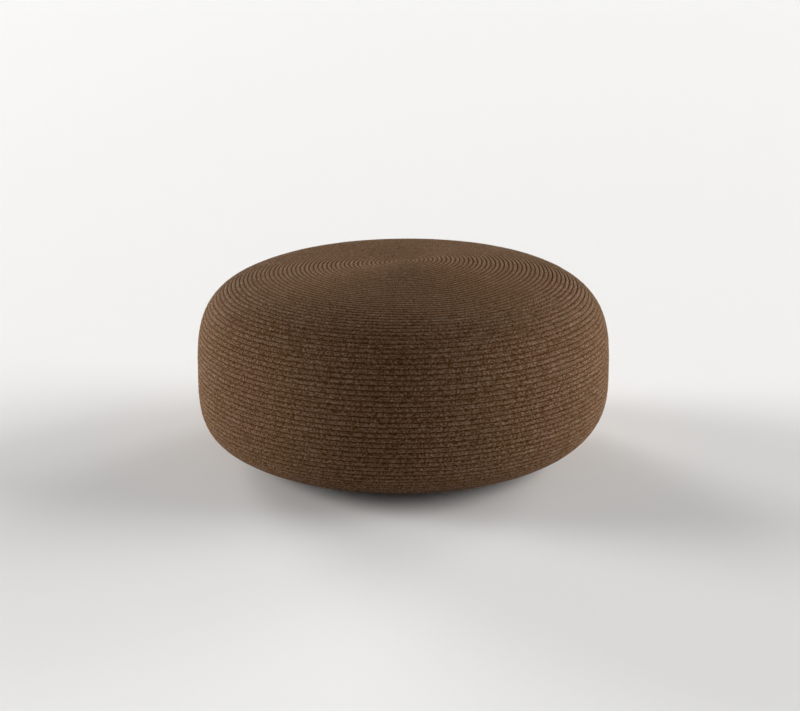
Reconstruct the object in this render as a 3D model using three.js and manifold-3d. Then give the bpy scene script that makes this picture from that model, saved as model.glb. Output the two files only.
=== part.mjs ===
// Outdoor ottoman footstool: a round pouf in a cover of braided cord.
// The cord is sewn in one spiral, from the middle of the top to a zipped opening under the base.
// Millimetres, +Z up. The origin is on the floor, under the middle of the pouf.
// Angles run anticlockwise as seen from above, and angle zero is the front, at -Y.

import * as THREE from "three";
import { mergeVertices } from "three/addons/utils/BufferGeometryUtils.js";
import Module from "manifold-3d";

const wasm = await Module();
wasm.setup();

const fullTurn = 2 * Math.PI;
const quarterTurn = Math.PI / 2;

// Clearances
const seatGap = 0.3;
const softGap = 0.4;
const slideGap = 0.5;
const overrun = 1;
const weldDistance = 0.001;

// Form of the pouf
const outerDiameter = 880;
const topHeight = 404;
const crownRise = 8;
const crownRadius = 225;
const waistHeight = 174;
const floorClearance = 9;
const flatMargin = 2;
const shoulderPowers = { across: 4.3, up: 3.4 };
const flankPowers = { across: 1.6, up: 2.85 };

// Facets round the pouf, and steps down each half of a plain layer's outline
const poufSides = 24;
const shoulderSteps = 6;
const flankSteps = 4;
const outlineSamples = 600;

// Braided cover
const braidWidth = 10;
const braidGroove = 2.2;
const coverThickness = 6;

// Layers under the cover
const liningThickness = 1.5;
const waddingThickness = 13;
const coreFoamHeight = 260;

// Base board, whose edge lies this far in from the widest round of the pouf
const boardInset = 180.5;
const boardRadius = outerDiameter / 2 - boardInset;
const boardThickness = 12;
const drainCount = 8;
const drainCircleRadius = 130;
const drainDiameter = 20;

// Base panel, hem and zip
const panelThickness = 1.6;
const panelLap = 11.3;
const bindingThickness = 1;
const bindingWidth = 14;
const hemClearance = 7.2;
const tapeWidth = 21;
const tapeThickness = 0.8;
const tapeClearance = 1.3;
const zipArc = (300 / 360) * fullTurn;
const zipStepsPerSide = 3;
const rowGap = 2.6;
const coilWidth = 3;
const coilThickness = 2;
const stopLength = 4;
const stopInset = 3;
const stopPlate = 0.8;
const joiningStopLength = 6;

// Zip slider and pull
const sliderLength = 12;
const sliderEndGap = 1.5;
const bladeThickness = 1.2;
const flangeThickness = 0.8;
const noseFlare = 1;
const noseNotch = 2;
const postWidth = 1.2;
const postLength = 2.6;
const postSetback = 0.5;
const archWidth = 2.4;
const archHoleLength = 4.6;
const archHoleHeight = 2.1;
const archBarThickness = 1.1;
const archFootThickness = 1.2;
const pullLength = 26;
const pullThickness = 1.2;
const pullCrossbar = 1.4;
const pullWindowLength = 5.6;
const pullWindowWidth = 4;
const pullRail = 1.8;
const pullTabWidth = 9;
const pullTipClearance = 0.5;

// Feet and their fixings, centred this far in from the board's edge
const footCount = 6;
const footInset = 33.5;
const footCircleRadius = boardRadius - footInset;
const footRadius = 30;
const footChamfer = 3;
const spigotRadius = 11;
const spigotClearance = 0.5;
const lipClearance = 3;
const padRadius = 27;
const padThickness = 3;
const padChamfer = 1.2;
const footSides = 12;
const screwRadius = 4;
const screwHeadRadius = 7.5;
const screwHeadHeight = 4;
const screwHeadRecess = 1.2;
const screwHeadClearance = 1;
const screwEndMargin = 2;
const nutFlangeRadius = 10;
const nutFlangeThickness = 1.5;
const nutFlangeClearance = 1;
const nutWall = 0.7;
const nutBarrelLength = 8.6;
const nutBarrelClearance = 0.6;
const fixingSides = 10;

// Heights of the layers under the pouf, from the cover's underside up
const coverFloor = floorClearance + coverThickness;
const bindingTop = coverFloor + seatGap + bindingThickness;
const tapeBottom = bindingTop + seatGap;
const tapeTop = tapeBottom + tapeThickness;
const panelTop = tapeBottom - seatGap;
const panelBottom = panelTop - panelThickness;
const coilTop = tapeBottom - seatGap;
const coilBottom = coilTop - coilThickness;
const lowerBladeTop = coilBottom - slideGap;
const lowerBladeBottom = lowerBladeTop - bladeThickness;
const upperBladeBottom = tapeTop + slideGap;
const upperBladeTop = upperBladeBottom + bladeThickness;
const lipBottom = panelTop + seatGap;
const lipTop = lipBottom + liningThickness;
const boardBottom = lipTop + seatGap;
const boardTop = boardBottom + boardThickness;
const overhangBottom = upperBladeTop + slideGap;
const overhangTop = overhangBottom + liningThickness;
const foamBottom = boardTop + seatGap;

// Radii of the rings under the pouf, from the base board out
const dropInnerRadius = boardRadius + softGap;
const dropOuterRadius = dropInnerRadius + liningThickness;
const lipInnerRadius = footCircleRadius + spigotRadius + lipClearance;
const innerTapeRadius = dropOuterRadius + tapeClearance;
const zipRadius = innerTapeRadius + tapeWidth + rowGap / 2;
const panelRadius = innerTapeRadius + panelLap;
const sliderRearHalf = rowGap / 2 + coilWidth + slideGap + flangeThickness;
const sliderNoseHalf = sliderRearHalf + noseFlare;
const bindingInnerRadius = zipRadius + sliderNoseHalf + hemClearance;
const hemRadius = bindingInnerRadius + bindingThickness + seatGap;
const bindingOuterRadius = bindingInnerRadius + bindingWidth;
const baseRadius = bindingOuterRadius + flatMargin;

// Finishes
const finish = (color, roughness, metalness = 0) =>
  new THREE.MeshStandardMaterial({ color, roughness, metalness });
const braidFinish = () => finish(0x7d624a, 0.9);
const bindingFinish = () => finish(0x4b3a2b, 0.85);
const clothFinish = () => finish(0x37302a, 0.85);
const liningFinish = () => finish(0xe6e1d6, 0.9);
const waddingFinish = () => finish(0xf4f3ef, 1);
const seatFoamFinish = () => finish(0xe9e4c8, 1);
const coreFoamFinish = () => finish(0xb9c3c9, 1);
const boardFinish = () => finish(0x8d6b45, 0.7);
const plasticFinish = () => finish(0x1d1b19, 0.5);
const rubberFinish = () => finish(0x111111, 0.9);
const darkMetalFinish = () => finish(0x3c3128, 0.35, 0.9);
const steelFinish = () => finish(0xb8bbbd, 0.3, 1);

const pouf = new THREE.Group();

function addPiece(name, geometry, material, holder = pouf) {
  const mesh = new THREE.Mesh(geometry, material);
  mesh.name = name;
  holder.add(mesh);
  return mesh;
}

// Joins equal corners and drops the triangles that this collapses.
function weld(geometry) {
  const bare = geometry.clone();
  bare.deleteAttribute("normal");
  bare.deleteAttribute("uv");
  const merged = mergeVertices(bare, weldDistance);
  const corners = merged.index.array;
  const kept = [];
  for (let i = 0; i < corners.length; i += 3) {
    const [a, b, c] = corners.slice(i, i + 3);
    if (a !== b && b !== c && c !== a) kept.push(a, b, c);
  }
  merged.setIndex(kept);
  return merged;
}

function toSolid(geometry) {
  const welded = weld(geometry);
  return new wasm.Manifold(
    new wasm.Mesh({
      numProp: 3,
      vertProperties: new Float32Array(welded.attributes.position.array),
      triVerts: new Uint32Array(welded.index.array),
    }),
  );
}

function toGeometry(solid) {
  const mesh = solid.getMesh();
  const geometry = new THREE.BufferGeometry();
  const corners = new Float32Array(mesh.vertProperties);
  geometry.setAttribute("position", new THREE.BufferAttribute(corners, 3));
  geometry.setIndex(new THREE.BufferAttribute(new Uint32Array(mesh.triVerts), 1));
  return geometry;
}

const join = (...parts) => toGeometry(parts.map(toSolid).reduce((all, next) => all.add(next)));
const cut = (body, tools) =>
  toGeometry(tools.map(toSolid).reduce((left, tool) => left.subtract(tool), toSolid(body)));

// Turns a closed outline of [radius, height] pairs, given anticlockwise, about the upright axis.
function revolve(outline, sides) {
  const points = outline.map(([radius, height]) => new THREE.Vector2(radius, height));
  points.push(points[0].clone());
  return weld(new THREE.LatheGeometry(points, sides).rotateX(quarterTurn));
}

// Corners of a regular polygon in plan, with one corner towards the front.
function polygon(radius, sides, centre = new THREE.Vector2()) {
  const corner = (_, i) => onCircle(radius, (fullTurn * i) / sides).add(centre);
  return Array.from({ length: sides }, corner);
}

function onCircle(radius, angle) {
  return new THREE.Vector2(radius * Math.sin(angle), -radius * Math.cos(angle));
}

// Raises a plan shape from one height to another.
function raise(shape, bottom, top, curveSegments = 1) {
  const depth = top - bottom;
  const geometry = new THREE.ExtrudeGeometry(shape, { depth, curveSegments, bevelEnabled: false });
  return geometry.translate(0, 0, bottom);
}

// Ring segment in plan between two radii and two angles.
function arcBand(innerRadius, outerRadius, startAngle, endAngle, steps) {
  const angleAt = (i) => startAngle + ((endAngle - startAngle) * i) / steps;
  const run = Array.from({ length: steps + 1 }, (_, i) => angleAt(i));
  const outer = run.map((angle) => onCircle(outerRadius, angle));
  const inner = run.map((angle) => onCircle(innerRadius, angle)).reverse();
  return new THREE.Shape([...outer, ...inner]);
}

// The half outline of the pouf is two superellipse quarters that meet at the waist, with a low
// crown on the top one. A layer has its own depth below the form and its own flat bottom height.
const easeBothEnds = (share) => (1 - Math.cos(Math.PI * share)) / 2;

function crownAt(radius) {
  if (radius >= crownRadius) return 0;
  return (crownRise * (1 + Math.cos((Math.PI * radius) / crownRadius))) / 2;
}

function shoulderPoint(share, layer) {
  const angle = quarterTurn * easeBothEnds(share);
  const across = Math.sin(angle) ** (2 / shoulderPowers.across);
  const up = Math.max(Math.cos(angle), 0) ** (2 / shoulderPowers.up);
  const radius = (outerDiameter / 2 - layer.depth) * across;
  return [radius, waistHeight + (topHeight - layer.depth - waistHeight) * up + crownAt(radius)];
}

function flankPoint(share, layer) {
  const angle = quarterTurn * easeBothEnds(share);
  const across = Math.max(Math.cos(angle), 0) ** (2 / flankPowers.across);
  const down = Math.sin(angle) ** (2 / flankPowers.up);
  const radius = baseRadius + (outerDiameter / 2 - layer.depth - baseRadius) * across;
  return [radius, waistHeight - (waistHeight - layer.bottom) * down];
}

// Outline of a layer from the middle of the top down to the flat under the pouf.
function layerOutline(layer, shoulder = shoulderSteps, flank = flankSteps) {
  const steps = (count) => Array.from({ length: count }, (_, i) => (i + 1) / count);
  return [
    [0, shoulderPoint(0, layer)[1]],
    ...steps(shoulder).map((share) => shoulderPoint(share, layer)),
    ...steps(flank).map((share) => flankPoint(share, layer)),
  ];
}

// Keeps the part of an outline above or below a height, and ends it at that height.
function clipOutline(outline, height, keepAbove) {
  const kept = [];
  outline.forEach(([radius, z], i) => {
    if (i > 0) {
      const [lastRadius, lastZ] = outline[i - 1];
      if ((lastZ > height) !== (z > height)) {
        const share = (lastZ - height) / (lastZ - z);
        kept.push([lastRadius + (radius - lastRadius) * share, height]);
      }
    }
    if (z > height === keepAbove) kept.push([radius, z]);
  });
  return kept;
}

// Measures the form by length along its outline, from the middle of the top to the hem.
function measureForm() {
  const form = { depth: 0, bottom: floorClearance };
  const points = layerOutline(form, outlineSamples, outlineSamples);
  points.push([hemRadius, floorClearance]);
  const lengths = [0];
  for (let i = 1; i < points.length; i += 1) {
    const [radius, z] = points[i];
    const [lastRadius, lastZ] = points[i - 1];
    lengths.push(lengths[i - 1] + Math.hypot(radius - lastRadius, z - lastZ));
  }
  return { points, lengths, total: lengths[lengths.length - 1] };
}

const measured = measureForm();

function formPoint(length) {
  const { points, lengths, total } = measured;
  const reach = Math.min(Math.max(length, 0), total);
  let low = 0;
  let high = lengths.length - 1;
  while (high - low > 1) {
    const middle = (low + high) >> 1;
    if (lengths[middle] <= reach) low = middle;
    else high = middle;
  }
  const share = (reach - lengths[low]) / (lengths[high] - lengths[low]);
  return points[low].map((value, axis) => value + (points[high][axis] - value) * share);
}

// A point of the cover at a length along the form and a depth below it.
function coverPoint(length, angle, depth) {
  const [radius, z] = formPoint(length);
  const [beforeRadius, beforeZ] = formPoint(length - braidWidth / 4);
  const [afterRadius, afterZ] = formPoint(length + braidWidth / 4);
  const run = Math.hypot(afterRadius - beforeRadius, afterZ - beforeZ);
  const sunkRadius = radius + (depth * (afterZ - beforeZ)) / run;
  const sunkZ = z - (depth * (afterRadius - beforeRadius)) / run;
  const place = onCircle(length > 0 ? sunkRadius : 0, angle);
  return [place.x, place.y, sunkZ];
}

// The cover is one shell. Its outside is a spiral ridge, one braid wide, with a groove along each
// seam, and its inside is plain. Grooves and crests are numbered by steps along the spiral. It is
// worked out anticlockwise and then mirrored, because the cord runs outwards clockwise.
function braidCoverGeometry() {
  const rounds = Math.floor(measured.total / braidWidth) - 1;
  const last = rounds * poufSides;
  const corners = [];
  const faces = [];
  const addCorner = (corner) => corners.push(...corner) / 3 - 1;
  const addQuad = (a, b, c, d) => faces.push(a, b, c, a, c, d);
  const angleOf = (step) => (fullTurn * step) / poufSides;
  const alongOf = (step) => (braidWidth * step) / poufSides;

  const grooves = [];
  for (let i = 0; i <= last + poufSides; i += 1)
    grooves.push(addCorner(coverPoint(alongOf(i), angleOf(i), braidGroove)));
  const crests = [];
  for (let i = 0; i <= last; i += 1)
    crests.push(addCorner(coverPoint(alongOf(i) + braidWidth / 2, angleOf(i), 0)));

  for (let i = 1; i < poufSides; i += 1) faces.push(grooves[0], grooves[i], grooves[i + 1]);
  faces.push(grooves[0], grooves[poufSides], crests[0]);
  for (let i = 0; i < last; i += 1) {
    addQuad(grooves[i], crests[i], crests[i + 1], grooves[i + 1]);
    addQuad(crests[i], grooves[i + poufSides], grooves[i + poufSides + 1], crests[i + 1]);
  }

  const addRing = (radius, z) => {
    const places = polygon(radius, poufSides);
    return places.map((place) => addCorner([place.x, place.y, z]));
  };
  const hem = addRing(hemRadius, floorClearance);
  const hemAt = (step) => hem[step % poufSides];
  for (let i = last; i < last + poufSides; i += 1)
    addQuad(grooves[i], hemAt(i), hemAt(i + 1), grooves[i + 1]);
  faces.push(grooves[last], crests[last], hemAt(last));
  faces.push(crests[last], grooves[last + poufSides], hemAt(last));

  const inside = layerOutline({ depth: coverThickness, bottom: coverFloor });
  const top = inside.shift();
  const rings = [hem, addRing(hemRadius, coverFloor)];
  inside.reverse().forEach(([radius, z]) => rings.push(addRing(radius, z)));
  for (let ring = 1; ring < rings.length; ring += 1)
    for (let i = 0; i < poufSides; i += 1) {
      const next = (i + 1) % poufSides;
      addQuad(rings[ring - 1][next], rings[ring - 1][i], rings[ring][i], rings[ring][next]);
    }
  const innermost = rings[rings.length - 1];
  const apex = addCorner([0, 0, top[1]]);
  for (let i = 0; i < poufSides; i += 1) faces.push(innermost[(i + 1) % poufSides], innermost[i], apex);

  console.log("braid rounds " + rounds + ", cord " + Math.round(cordLength(last)) + " mm");
  const geometry = new THREE.BufferGeometry();
  geometry.setAttribute("position", new THREE.Float32BufferAttribute(corners, 3));
  geometry.setIndex(faces.reverse());
  return geometry.scale(-1, 1, 1);
}

// Length of the cord along the crests of the spiral.
function cordLength(last) {
  let length = 0;
  for (let i = 1; i <= last; i += 1) {
    const [radius] = formPoint((braidWidth * i) / poufSides);
    length += (radius * fullTurn) / poufSides;
  }
  return length;
}

function addCover() {
  addPiece("braid_cover", braidCoverGeometry(), braidFinish());
  const inner = bindingInnerRadius + bindingThickness;
  const lowerTop = floorClearance - seatGap;
  const binding = [
    [bindingInnerRadius, lowerTop - bindingThickness],
    [bindingOuterRadius, lowerTop - bindingThickness],
    [bindingOuterRadius, lowerTop],
    [inner, lowerTop],
    [inner, bindingTop - bindingThickness],
    [bindingOuterRadius, bindingTop - bindingThickness],
    [bindingOuterRadius, bindingTop],
    [bindingInnerRadius, bindingTop],
  ];
  addPiece("hem_binding", revolve(binding, poufSides), bindingFinish());
}

// The lining is a closed bag that drops round the edge of the board and turns under it.
function addLining() {
  const depth = coverThickness + softGap;
  const outside = layerOutline({ depth, bottom: overhangBottom }).reverse();
  const inside = layerOutline({ depth: depth + liningThickness, bottom: overhangTop });
  const outline = [
    [lipInnerRadius, lipBottom],
    [dropOuterRadius, lipBottom],
    [dropOuterRadius, overhangBottom],
    ...outside,
    ...inside,
    [dropInnerRadius, overhangTop],
    [dropInnerRadius, lipTop],
    [lipInnerRadius, lipTop],
  ];
  addPiece("inner_lining", revolve(outline, poufSides), liningFinish());
}

const waddingDepth = coverThickness + softGap + liningThickness + softGap;
const foamDepth = waddingDepth + waddingThickness + softGap;

function addFilling() {
  const wrapBottom = overhangTop + softGap;
  const wrapTuck = foamBottom - softGap;
  const outside = layerOutline({ depth: waddingDepth, bottom: wrapBottom }).reverse();
  const inside = layerOutline({ depth: foamDepth - softGap, bottom: wrapTuck });
  const wadding = [[dropInnerRadius, wrapBottom], ...outside, ...inside, [dropInnerRadius, wrapTuck]];
  addPiece("fibre_wadding", revolve(wadding, poufSides), waddingFinish());

  const foam = layerOutline({ depth: foamDepth, bottom: foamBottom });
  const coreTop = foamBottom + coreFoamHeight;
  const seatBottom = coreTop + softGap;
  const seat = clipOutline(foam, seatBottom, true).reverse();
  addPiece("seat_foam", revolve([[0, seatBottom], ...seat], poufSides), seatFoamFinish());
  const core = clipOutline(foam, coreTop, false).reverse();
  addPiece("core_foam", revolve([[0, foamBottom], ...core, [0, coreTop]], poufSides), coreFoamFinish());
}

const footAngle = (i) => (fullTurn * (i + 0.5)) / footCount;
const footPlace = (i) => onCircle(footCircleRadius, footAngle(i));
const eachFoot = Array.from({ length: footCount }, (_, i) => i);

function addBoard() {
  const shape = new THREE.Shape(polygon(boardRadius, poufSides));
  const hole = (radius, place) => shape.holes.push(new THREE.Path(polygon(radius, footSides, place)));
  for (let i = 0; i < drainCount; i += 1)
    hole(drainDiameter / 2, onCircle(drainCircleRadius, (fullTurn * i) / drainCount));
  eachFoot.forEach((i) => hole(screwRadius + seatGap + nutWall + nutBarrelClearance, footPlace(i)));
  const recess = (i) => {
    const disc = new THREE.Shape(polygon(nutFlangeRadius + nutFlangeClearance, footSides, footPlace(i)));
    return raise(disc, boardTop - nutFlangeThickness - 2 * seatGap, boardTop + overrun);
  };
  const board = cut(raise(shape, boardBottom, boardTop), eachFoot.map(recess));
  addPiece("base_board", board, boardFinish());
}

function addPanel() {
  const shape = new THREE.Shape(polygon(panelRadius, poufSides));
  const hole = (i) => new THREE.Path(polygon(spigotRadius + spigotClearance, footSides, footPlace(i)));
  eachFoot.forEach((i) => shape.holes.push(hole(i)));
  addPiece("base_panel", raise(shape, panelBottom, panelTop), clothFinish());
}

// The zip runs round the front and sides. A plain strip closes the ring at the back.
const zipStart = -zipArc / 2;
const zipEnd = zipArc / 2;
const zipSteps = Math.round((poufSides * zipStepsPerSide * zipArc) / fullTurn);
const outerRowRadius = zipRadius + rowGap / 2;
const innerRowRadius = zipRadius - rowGap / 2;

function addZipChain() {
  const band = (inner, outer) => arcBand(inner, outer, zipStart, zipEnd, zipSteps);
  const outerTape = band(outerRowRadius, outerRowRadius + tapeWidth);
  addPiece("zip_tape_outer", raise(outerTape, tapeBottom, tapeTop), clothFinish());
  const innerTape = band(innerTapeRadius, innerRowRadius);
  addPiece("zip_tape_inner", raise(innerTape, tapeBottom, tapeTop), clothFinish());
  const outerCoil = band(outerRowRadius, outerRowRadius + coilWidth);
  addPiece("zip_coil_outer", raise(outerCoil, coilBottom, coilTop), plasticFinish());
  const innerCoil = band(innerRowRadius - coilWidth, innerRowRadius);
  addPiece("zip_coil_inner", raise(innerCoil, coilBottom, coilTop), plasticFinish());

  const stripStart = zipEnd + softGap / innerTapeRadius;
  const stripEnd = fullTurn + zipStart - softGap / innerTapeRadius;
  const stripSteps = poufSides * zipStepsPerSide - zipSteps;
  const outerEdge = outerRowRadius + tapeWidth;
  const strip = arcBand(innerTapeRadius, outerEdge, stripStart, stripEnd, stripSteps);
  addPiece("seam_webbing", raise(strip, tapeBottom, tapeTop), clothFinish());
}

// A group whose x axis points out from the middle at an angle, with y along the zip.
function groupAt(angle) {
  const group = new THREE.Group();
  group.rotation.z = angle - quarterTurn;
  pouf.add(group);
  return group;
}

// Sweeps a section of [radius, height] pairs along the zip, centred on the group's x axis.
function sweepAlong(section, length) {
  const shape = new THREE.Shape(section.map(([radius, height]) => new THREE.Vector2(radius, height)));
  const geometry = new THREE.ExtrudeGeometry(shape, { depth: length, bevelEnabled: false });
  return geometry.translate(0, 0, -length / 2).rotateX(quarterTurn);
}

function addZipStops() {
  const under = coilBottom - seatGap;
  const over = tapeTop + seatGap;
  const wrap = (edge, side) => [
    [edge - side * (seatGap + stopPlate), under - stopPlate],
    [edge + side * (coilWidth + seatGap), under - stopPlate],
    [edge + side * (coilWidth + seatGap), under],
    [edge - side * seatGap, under],
    [edge - side * seatGap, over],
    [edge + side * (coilWidth + seatGap), over],
    [edge + side * (coilWidth + seatGap), over + stopPlate],
    [edge - side * (seatGap + stopPlate), over + stopPlate],
  ];
  const closedEnd = groupAt(zipStart + stopInset / zipRadius);
  const outerStop = sweepAlong(wrap(outerRowRadius, 1), stopLength);
  addPiece("zip_stop_outer", outerStop, darkMetalFinish(), closedEnd);
  const innerStop = sweepAlong(wrap(innerRowRadius, -1), stopLength);
  addPiece("zip_stop_inner", innerStop, darkMetalFinish(), closedEnd);

  const reach = rowGap / 2 + coilWidth + seatGap;
  const web = rowGap / 2 - seatGap;
  const joined = [
    [zipRadius - reach, under - stopPlate],
    [zipRadius + reach, under - stopPlate],
    [zipRadius + reach, under],
    [zipRadius + web, under],
    [zipRadius + web, over],
    [zipRadius + reach, over],
    [zipRadius + reach, over + stopPlate],
    [zipRadius - reach, over + stopPlate],
    [zipRadius - reach, over],
    [zipRadius - web, over],
    [zipRadius - web, under],
    [zipRadius - reach, under],
  ];
  const openEnd = groupAt(zipEnd - joiningStopLength / 2 / zipRadius);
  const joiningStop = sweepAlong(joined, joiningStopLength);
  addPiece("zip_stop_joining", joiningStop, darkMetalFinish(), openEnd);
}

// Where the slider stands when the zip is closed, and how far round it can be drawn.
const sliderReach = sliderEndGap + sliderLength / 2;
const sliderAngle = zipStart + (stopInset + stopLength / 2 + sliderReach) / zipRadius;
const sliderTravel = zipEnd - (joiningStopLength + sliderReach) / zipRadius - sliderAngle;
const pivotHeight = lowerBladeBottom - archHoleHeight / 2;
const pullDip = Math.asin((pivotHeight - pullTipClearance - pullThickness / 2) / pullLength);

// Plan of a slider blade, square at the rear and lobed at the nose, where the rows part.
function bladeShape() {
  const half = sliderLength / 2;
  const blade = new THREE.Shape();
  blade.moveTo(sliderRearHalf, half);
  blade.lineTo(-sliderRearHalf, half);
  blade.lineTo(-sliderRearHalf, 0);
  blade.quadraticCurveTo(-sliderNoseHalf, -half / 2, -sliderNoseHalf / 2, -half);
  blade.lineTo(0, noseNotch - half);
  blade.lineTo(sliderNoseHalf / 2, -half);
  blade.quadraticCurveTo(sliderNoseHalf, -half / 2, sliderRearHalf, 0);
  return blade.closePath();
}

function block(width, length, bottom, top, x, y) {
  const box = new THREE.BoxGeometry(width, length, top - bottom);
  return box.translate(x, y, (top + bottom) / 2);
}

// The arch under the lower blade, which the pull hangs from.
function archGeometry() {
  const half = archHoleLength / 2;
  const outerHalf = half + archFootThickness;
  const holeBottom = lowerBladeBottom - archHoleHeight;
  const barBottom = holeBottom - archBarThickness;
  const root = lowerBladeBottom + bladeThickness / 2;
  const arch = new THREE.Shape();
  arch.moveTo(-outerHalf, root);
  arch.lineTo(-outerHalf, holeBottom);
  arch.quadraticCurveTo(-outerHalf, barBottom, -half, barBottom);
  arch.lineTo(half, barBottom);
  arch.quadraticCurveTo(outerHalf, barBottom, outerHalf, holeBottom);
  arch.lineTo(outerHalf, root);
  arch.lineTo(half, root);
  arch.lineTo(half, holeBottom);
  arch.lineTo(-half, holeBottom);
  arch.lineTo(-half, root);
  arch.closePath();
  const options = { depth: archWidth, curveSegments: 3, bevelEnabled: false };
  const geometry = new THREE.ExtrudeGeometry(arch, options);
  return geometry.translate(0, 0, -archWidth / 2).rotateX(quarterTurn).rotateZ(quarterTurn);
}

function addSlider() {
  const holder = groupAt(sliderAngle);
  const blade = bladeShape();
  const flangeX = sliderRearHalf - flangeThickness / 2;
  const flangeTop = tapeBottom - slideGap;
  const middle = (lowerBladeTop + lowerBladeBottom) / 2;
  const flange = (x) => block(flangeThickness, sliderLength / 2, middle, flangeTop, x, sliderLength / 4);
  const postY = noseNotch + postSetback + (postLength - sliderLength) / 2;
  const post = block(postWidth, postLength, middle, upperBladeBottom + bladeThickness / 2, 0, postY);
  const slider = join(
    raise(blade, lowerBladeBottom, lowerBladeTop, 3),
    raise(blade, upperBladeBottom, upperBladeTop, 3),
    flange(-flangeX),
    flange(flangeX),
    post,
    archGeometry(),
  );
  addPiece("zip_slider", slider.translate(zipRadius, 0, 0), darkMetalFinish(), holder);
  addPull(holder);
}

// The pull's crossbar lies in the arch, and its window clears the arch all the way round.
function addPull(holder) {
  const railHalf = pullWindowWidth / 2 + pullRail;
  const windowStart = pullCrossbar / 2;
  const windowEnd = windowStart + pullWindowLength;
  const tabHalf = pullTabWidth / 2;
  const tabCentre = pullLength - tabHalf;
  const plate = new THREE.Shape();
  plate.moveTo(-railHalf, -windowStart);
  plate.lineTo(railHalf, -windowStart);
  plate.lineTo(railHalf, windowEnd);
  plate.quadraticCurveTo(railHalf, tabCentre / 2, tabHalf, tabCentre);
  plate.absarc(0, tabCentre, tabHalf, 0, Math.PI, false);
  plate.quadraticCurveTo(-railHalf, tabCentre / 2, -railHalf, windowEnd);
  plate.closePath();
  const window = new THREE.Path();
  window.moveTo(-pullWindowWidth / 2, windowStart);
  window.lineTo(-pullWindowWidth / 2, windowEnd);
  window.lineTo(pullWindowWidth / 2, windowEnd);
  window.lineTo(pullWindowWidth / 2, windowStart);
  window.closePath();
  plate.holes.push(window);
  const sheet = raise(plate, -pullThickness / 2, pullThickness / 2, 4);
  const pull = addPiece("zip_pull", sheet, darkMetalFinish(), holder);
  pull.position.set(zipRadius, 0, pivotHeight);
  pull.rotation.x = -pullDip;
}

// Feet, each a puck with a spigot through the base panel, held by a screw in a tee nut.
const footBottom = padThickness + seatGap;
const footTop = panelBottom - seatGap;
const spigotTop = boardBottom - seatGap;
const headBottom = footBottom + screwHeadRecess;
const headTop = headBottom + screwHeadHeight;
const boreRadius = screwRadius + seatGap;
const nutFlangeBottom = boardTop - seatGap - nutFlangeThickness;
const nutBarrelBottom = nutFlangeBottom - nutBarrelLength;

function footGeometry() {
  const headBore = screwHeadRadius + screwHeadClearance;
  const outline = [
    [headBore, footBottom],
    [footRadius - footChamfer, footBottom],
    [footRadius, footBottom + footChamfer],
    [footRadius, footTop],
    [spigotRadius, footTop],
    [spigotRadius, spigotTop],
    [boreRadius, spigotTop],
    [boreRadius, headTop + seatGap],
    [headBore, headTop + seatGap],
  ];
  return revolve(outline, footSides);
}

function padGeometry() {
  const outline = [
    [0, 0],
    [padRadius - padChamfer, 0],
    [padRadius, padChamfer],
    [padRadius, padThickness],
    [0, padThickness],
  ];
  return revolve(outline, footSides);
}

function screwGeometry() {
  const shankTop = nutFlangeBottom + nutFlangeThickness - screwEndMargin;
  const outline = [
    [0, headBottom],
    [screwHeadRadius, headBottom],
    [screwHeadRadius, headTop],
    [screwRadius, headTop],
    [screwRadius, shankTop],
    [0, shankTop],
  ];
  return revolve(outline, fixingSides);
}

function nutGeometry() {
  const outline = [
    [boreRadius, nutBarrelBottom],
    [boreRadius + nutWall, nutBarrelBottom],
    [boreRadius + nutWall, nutFlangeBottom],
    [nutFlangeRadius, nutFlangeBottom],
    [nutFlangeRadius, nutFlangeBottom + nutFlangeThickness],
    [boreRadius, nutFlangeBottom + nutFlangeThickness],
  ];
  return revolve(outline, fixingSides);
}

function addFeet() {
  eachFoot.forEach((i) => {
    const holder = new THREE.Group();
    const place = footPlace(i);
    holder.position.set(place.x, place.y, 0);
    pouf.add(holder);
    const number = i + 1;
    addPiece("foot_" + number, footGeometry(), plasticFinish(), holder);
    addPiece("foot_pad_" + number, padGeometry(), rubberFinish(), holder);
    addPiece("foot_screw_" + number, screwGeometry(), steelFinish(), holder);
    addPiece("tee_nut_" + number, nutGeometry(), steelFinish(), holder);
  });
}

addCover();
addLining();
addFilling();
addBoard();
addPanel();
addZipChain();
addZipStops();
addSlider();
addFeet();

const degrees = (angle) => ((angle * 360) / fullTurn).toFixed(3);
console.log("slider at " + degrees(sliderAngle) + " degrees, travel " + degrees(sliderTravel));
console.log("pull pivot at radius " + zipRadius.toFixed(3) + ", height " + pivotHeight.toFixed(3));
console.log("pull dips " + degrees(pullDip) + " degrees to the floor");

export default pouf;
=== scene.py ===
"""Round outdoor pouf covered with brown braided cord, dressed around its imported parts."""

import math
from functools import partial, partialmethod, reduce

import bmesh
import bpy
import numpy as np
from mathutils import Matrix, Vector, noise


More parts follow.
